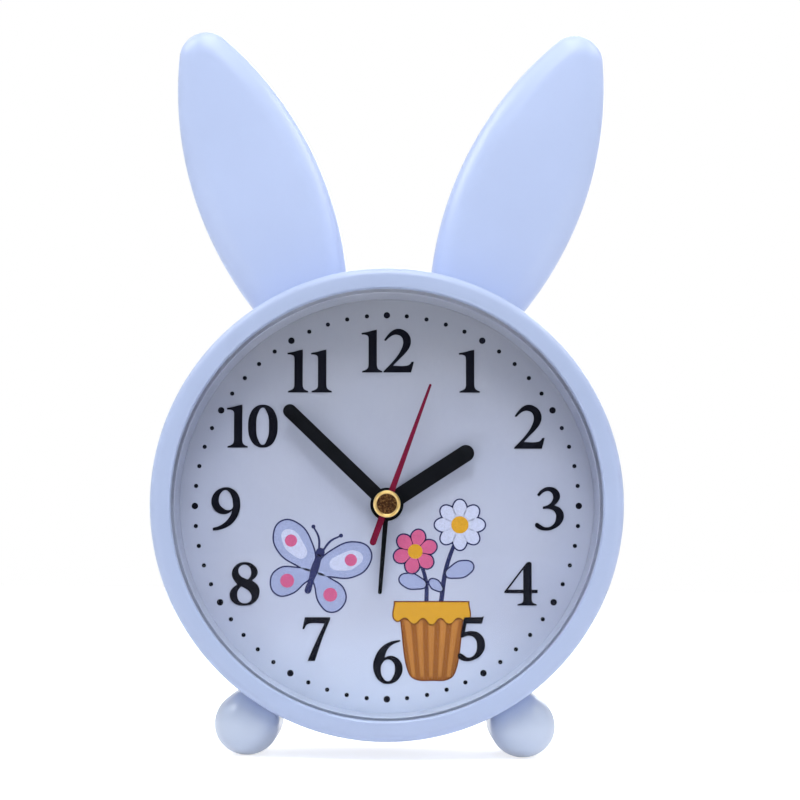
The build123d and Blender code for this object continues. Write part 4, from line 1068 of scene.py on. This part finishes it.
bpy.ops.mesh.primitive_circle_add(vertices=96, radius=4.0, fill_type="NGON", location=(0, 0, -0.0002))
floor = bpy.context.object
floor.name = "floor"
pale, pale_tree, pale_shader, pale_place = blank("pale_floor")
pale_tree.links.new(
    shades(pale_tree, cloud(pale_tree, pale_place, 3), (0.3, (0.90, 0.90, 0.91)), (0.7, (0.93, 0.93, 0.94))),
    pale_shader.inputs["Base Color"],
)
pale_shader.inputs["Roughness"].default_value = 0.9
seen = looked_at(pale_tree)[1]
away = add(pale_tree, "ShaderNodeVectorMath", {0: pale_place}, operation="LENGTH").outputs["Value"]
lift_level = spread(pale_tree, away, 0.72, 0.86, 0.15, 0.7)
lift_now = sums(pale_tree, "MULTIPLY", seen, lift_level)
lift = add(pale_tree, "ShaderNodeEmission", {"Color": (1.0, 1.0, 1.0, 1.0), "Strength": lift_now})
both = add(pale_tree, "ShaderNodeAddShader", {0: pale_shader.outputs[0], 1: lift.outputs[0]})
pale_tree.links.new(both.outputs[0], pale_tree.nodes["Material Output"].inputs["Surface"])
floor.data.materials.append(pale)

world = bpy.data.worlds.new("studio")
bpy.context.scene.world = world
world.use_nodes = True
sky = world.node_tree
sky.nodes.clear()
direct, seen = looked_at(sky)
direction = add(sky, "ShaderNodeTexCoord").outputs["Generated"]
facing = add(sky, "ShaderNodeSeparateXYZ", {0: direction}).outputs["Y"]
room = spread(sky, facing, 0.12, 1.0, -0.7, 0.0)
bright = sums(sky, "MAXIMUM", direct, room)
white = add(sky, "ShaderNodeBackground", {"Color": (1.0, 1.0, 1.0, 1.0), "Strength": bright})
soft = add(sky, "ShaderNodeBackground", {"Color": (0.90, 0.95, 1.0, 1.0), "Strength": 0.15})
mix = add(sky, "ShaderNodeMixShader", {0: seen, 1: soft.outputs[0], 2: white.outputs[0]})
add(sky, "ShaderNodeOutputWorld", {"Surface": mix.outputs[0]})


def lamp(name, place, aim, size, power, colour=(1.0, 1.0, 1.0)):
    """A square soft lamp aimed at a point."""
    light = bpy.data.lights.new(name, "AREA")
    light.shape = "SQUARE"
    light.size = size
    light.energy = power
    light.color = colour
    holder = stand(name, light)
    holder.location = place
    holder.rotation_euler = (Vector(aim) - Vector(place)).to_track_quat("-Z", "Y").to_euler()


middle = (0.0, 0.0, axis_z)
cool = (0.94, 0.98, 1.0)
lamp("top_softbox", (0.0, -0.48, 0.66), middle, 0.24, 1.52, cool)
lamp("overhead", (0.0, -0.24, 0.84), middle, 0.42, 2.3, cool)
lamp("left_strip", (-0.5, -0.12, 0.62), middle, 0.3, 1.65, cool)
lamp("right_strip", (0.5, -0.12, 0.62), middle, 0.3, 1.45, cool)
lamp("left_fill", (-0.5, -0.5, 0.03), middle, 0.3, 0.52)
lamp("right_fill", (0.5, -0.5, 0.03), middle, 0.3, 0.52)
lamp("back_fill", (0.3, 1.2, 0.7), middle, 0.8, 7.5)

view = bpy.data.cameras.new("camera")
view.sensor_width = 36.0
view.lens = 83.25
view.shift_x = 0.0172
view.shift_y = 0.0618
eye = stand("camera", view)
eye.location = spot(0.0, -eye_drop, -eye_distance)
eye.rotation_mode = "XYZ"
eye.rotation_euler = (radians(90 + eye_tilt), radians(eye_roll), 0.0)
bpy.context.scene.camera = eye
bpy.context.scene.view_settings.view_transform = "Standard"
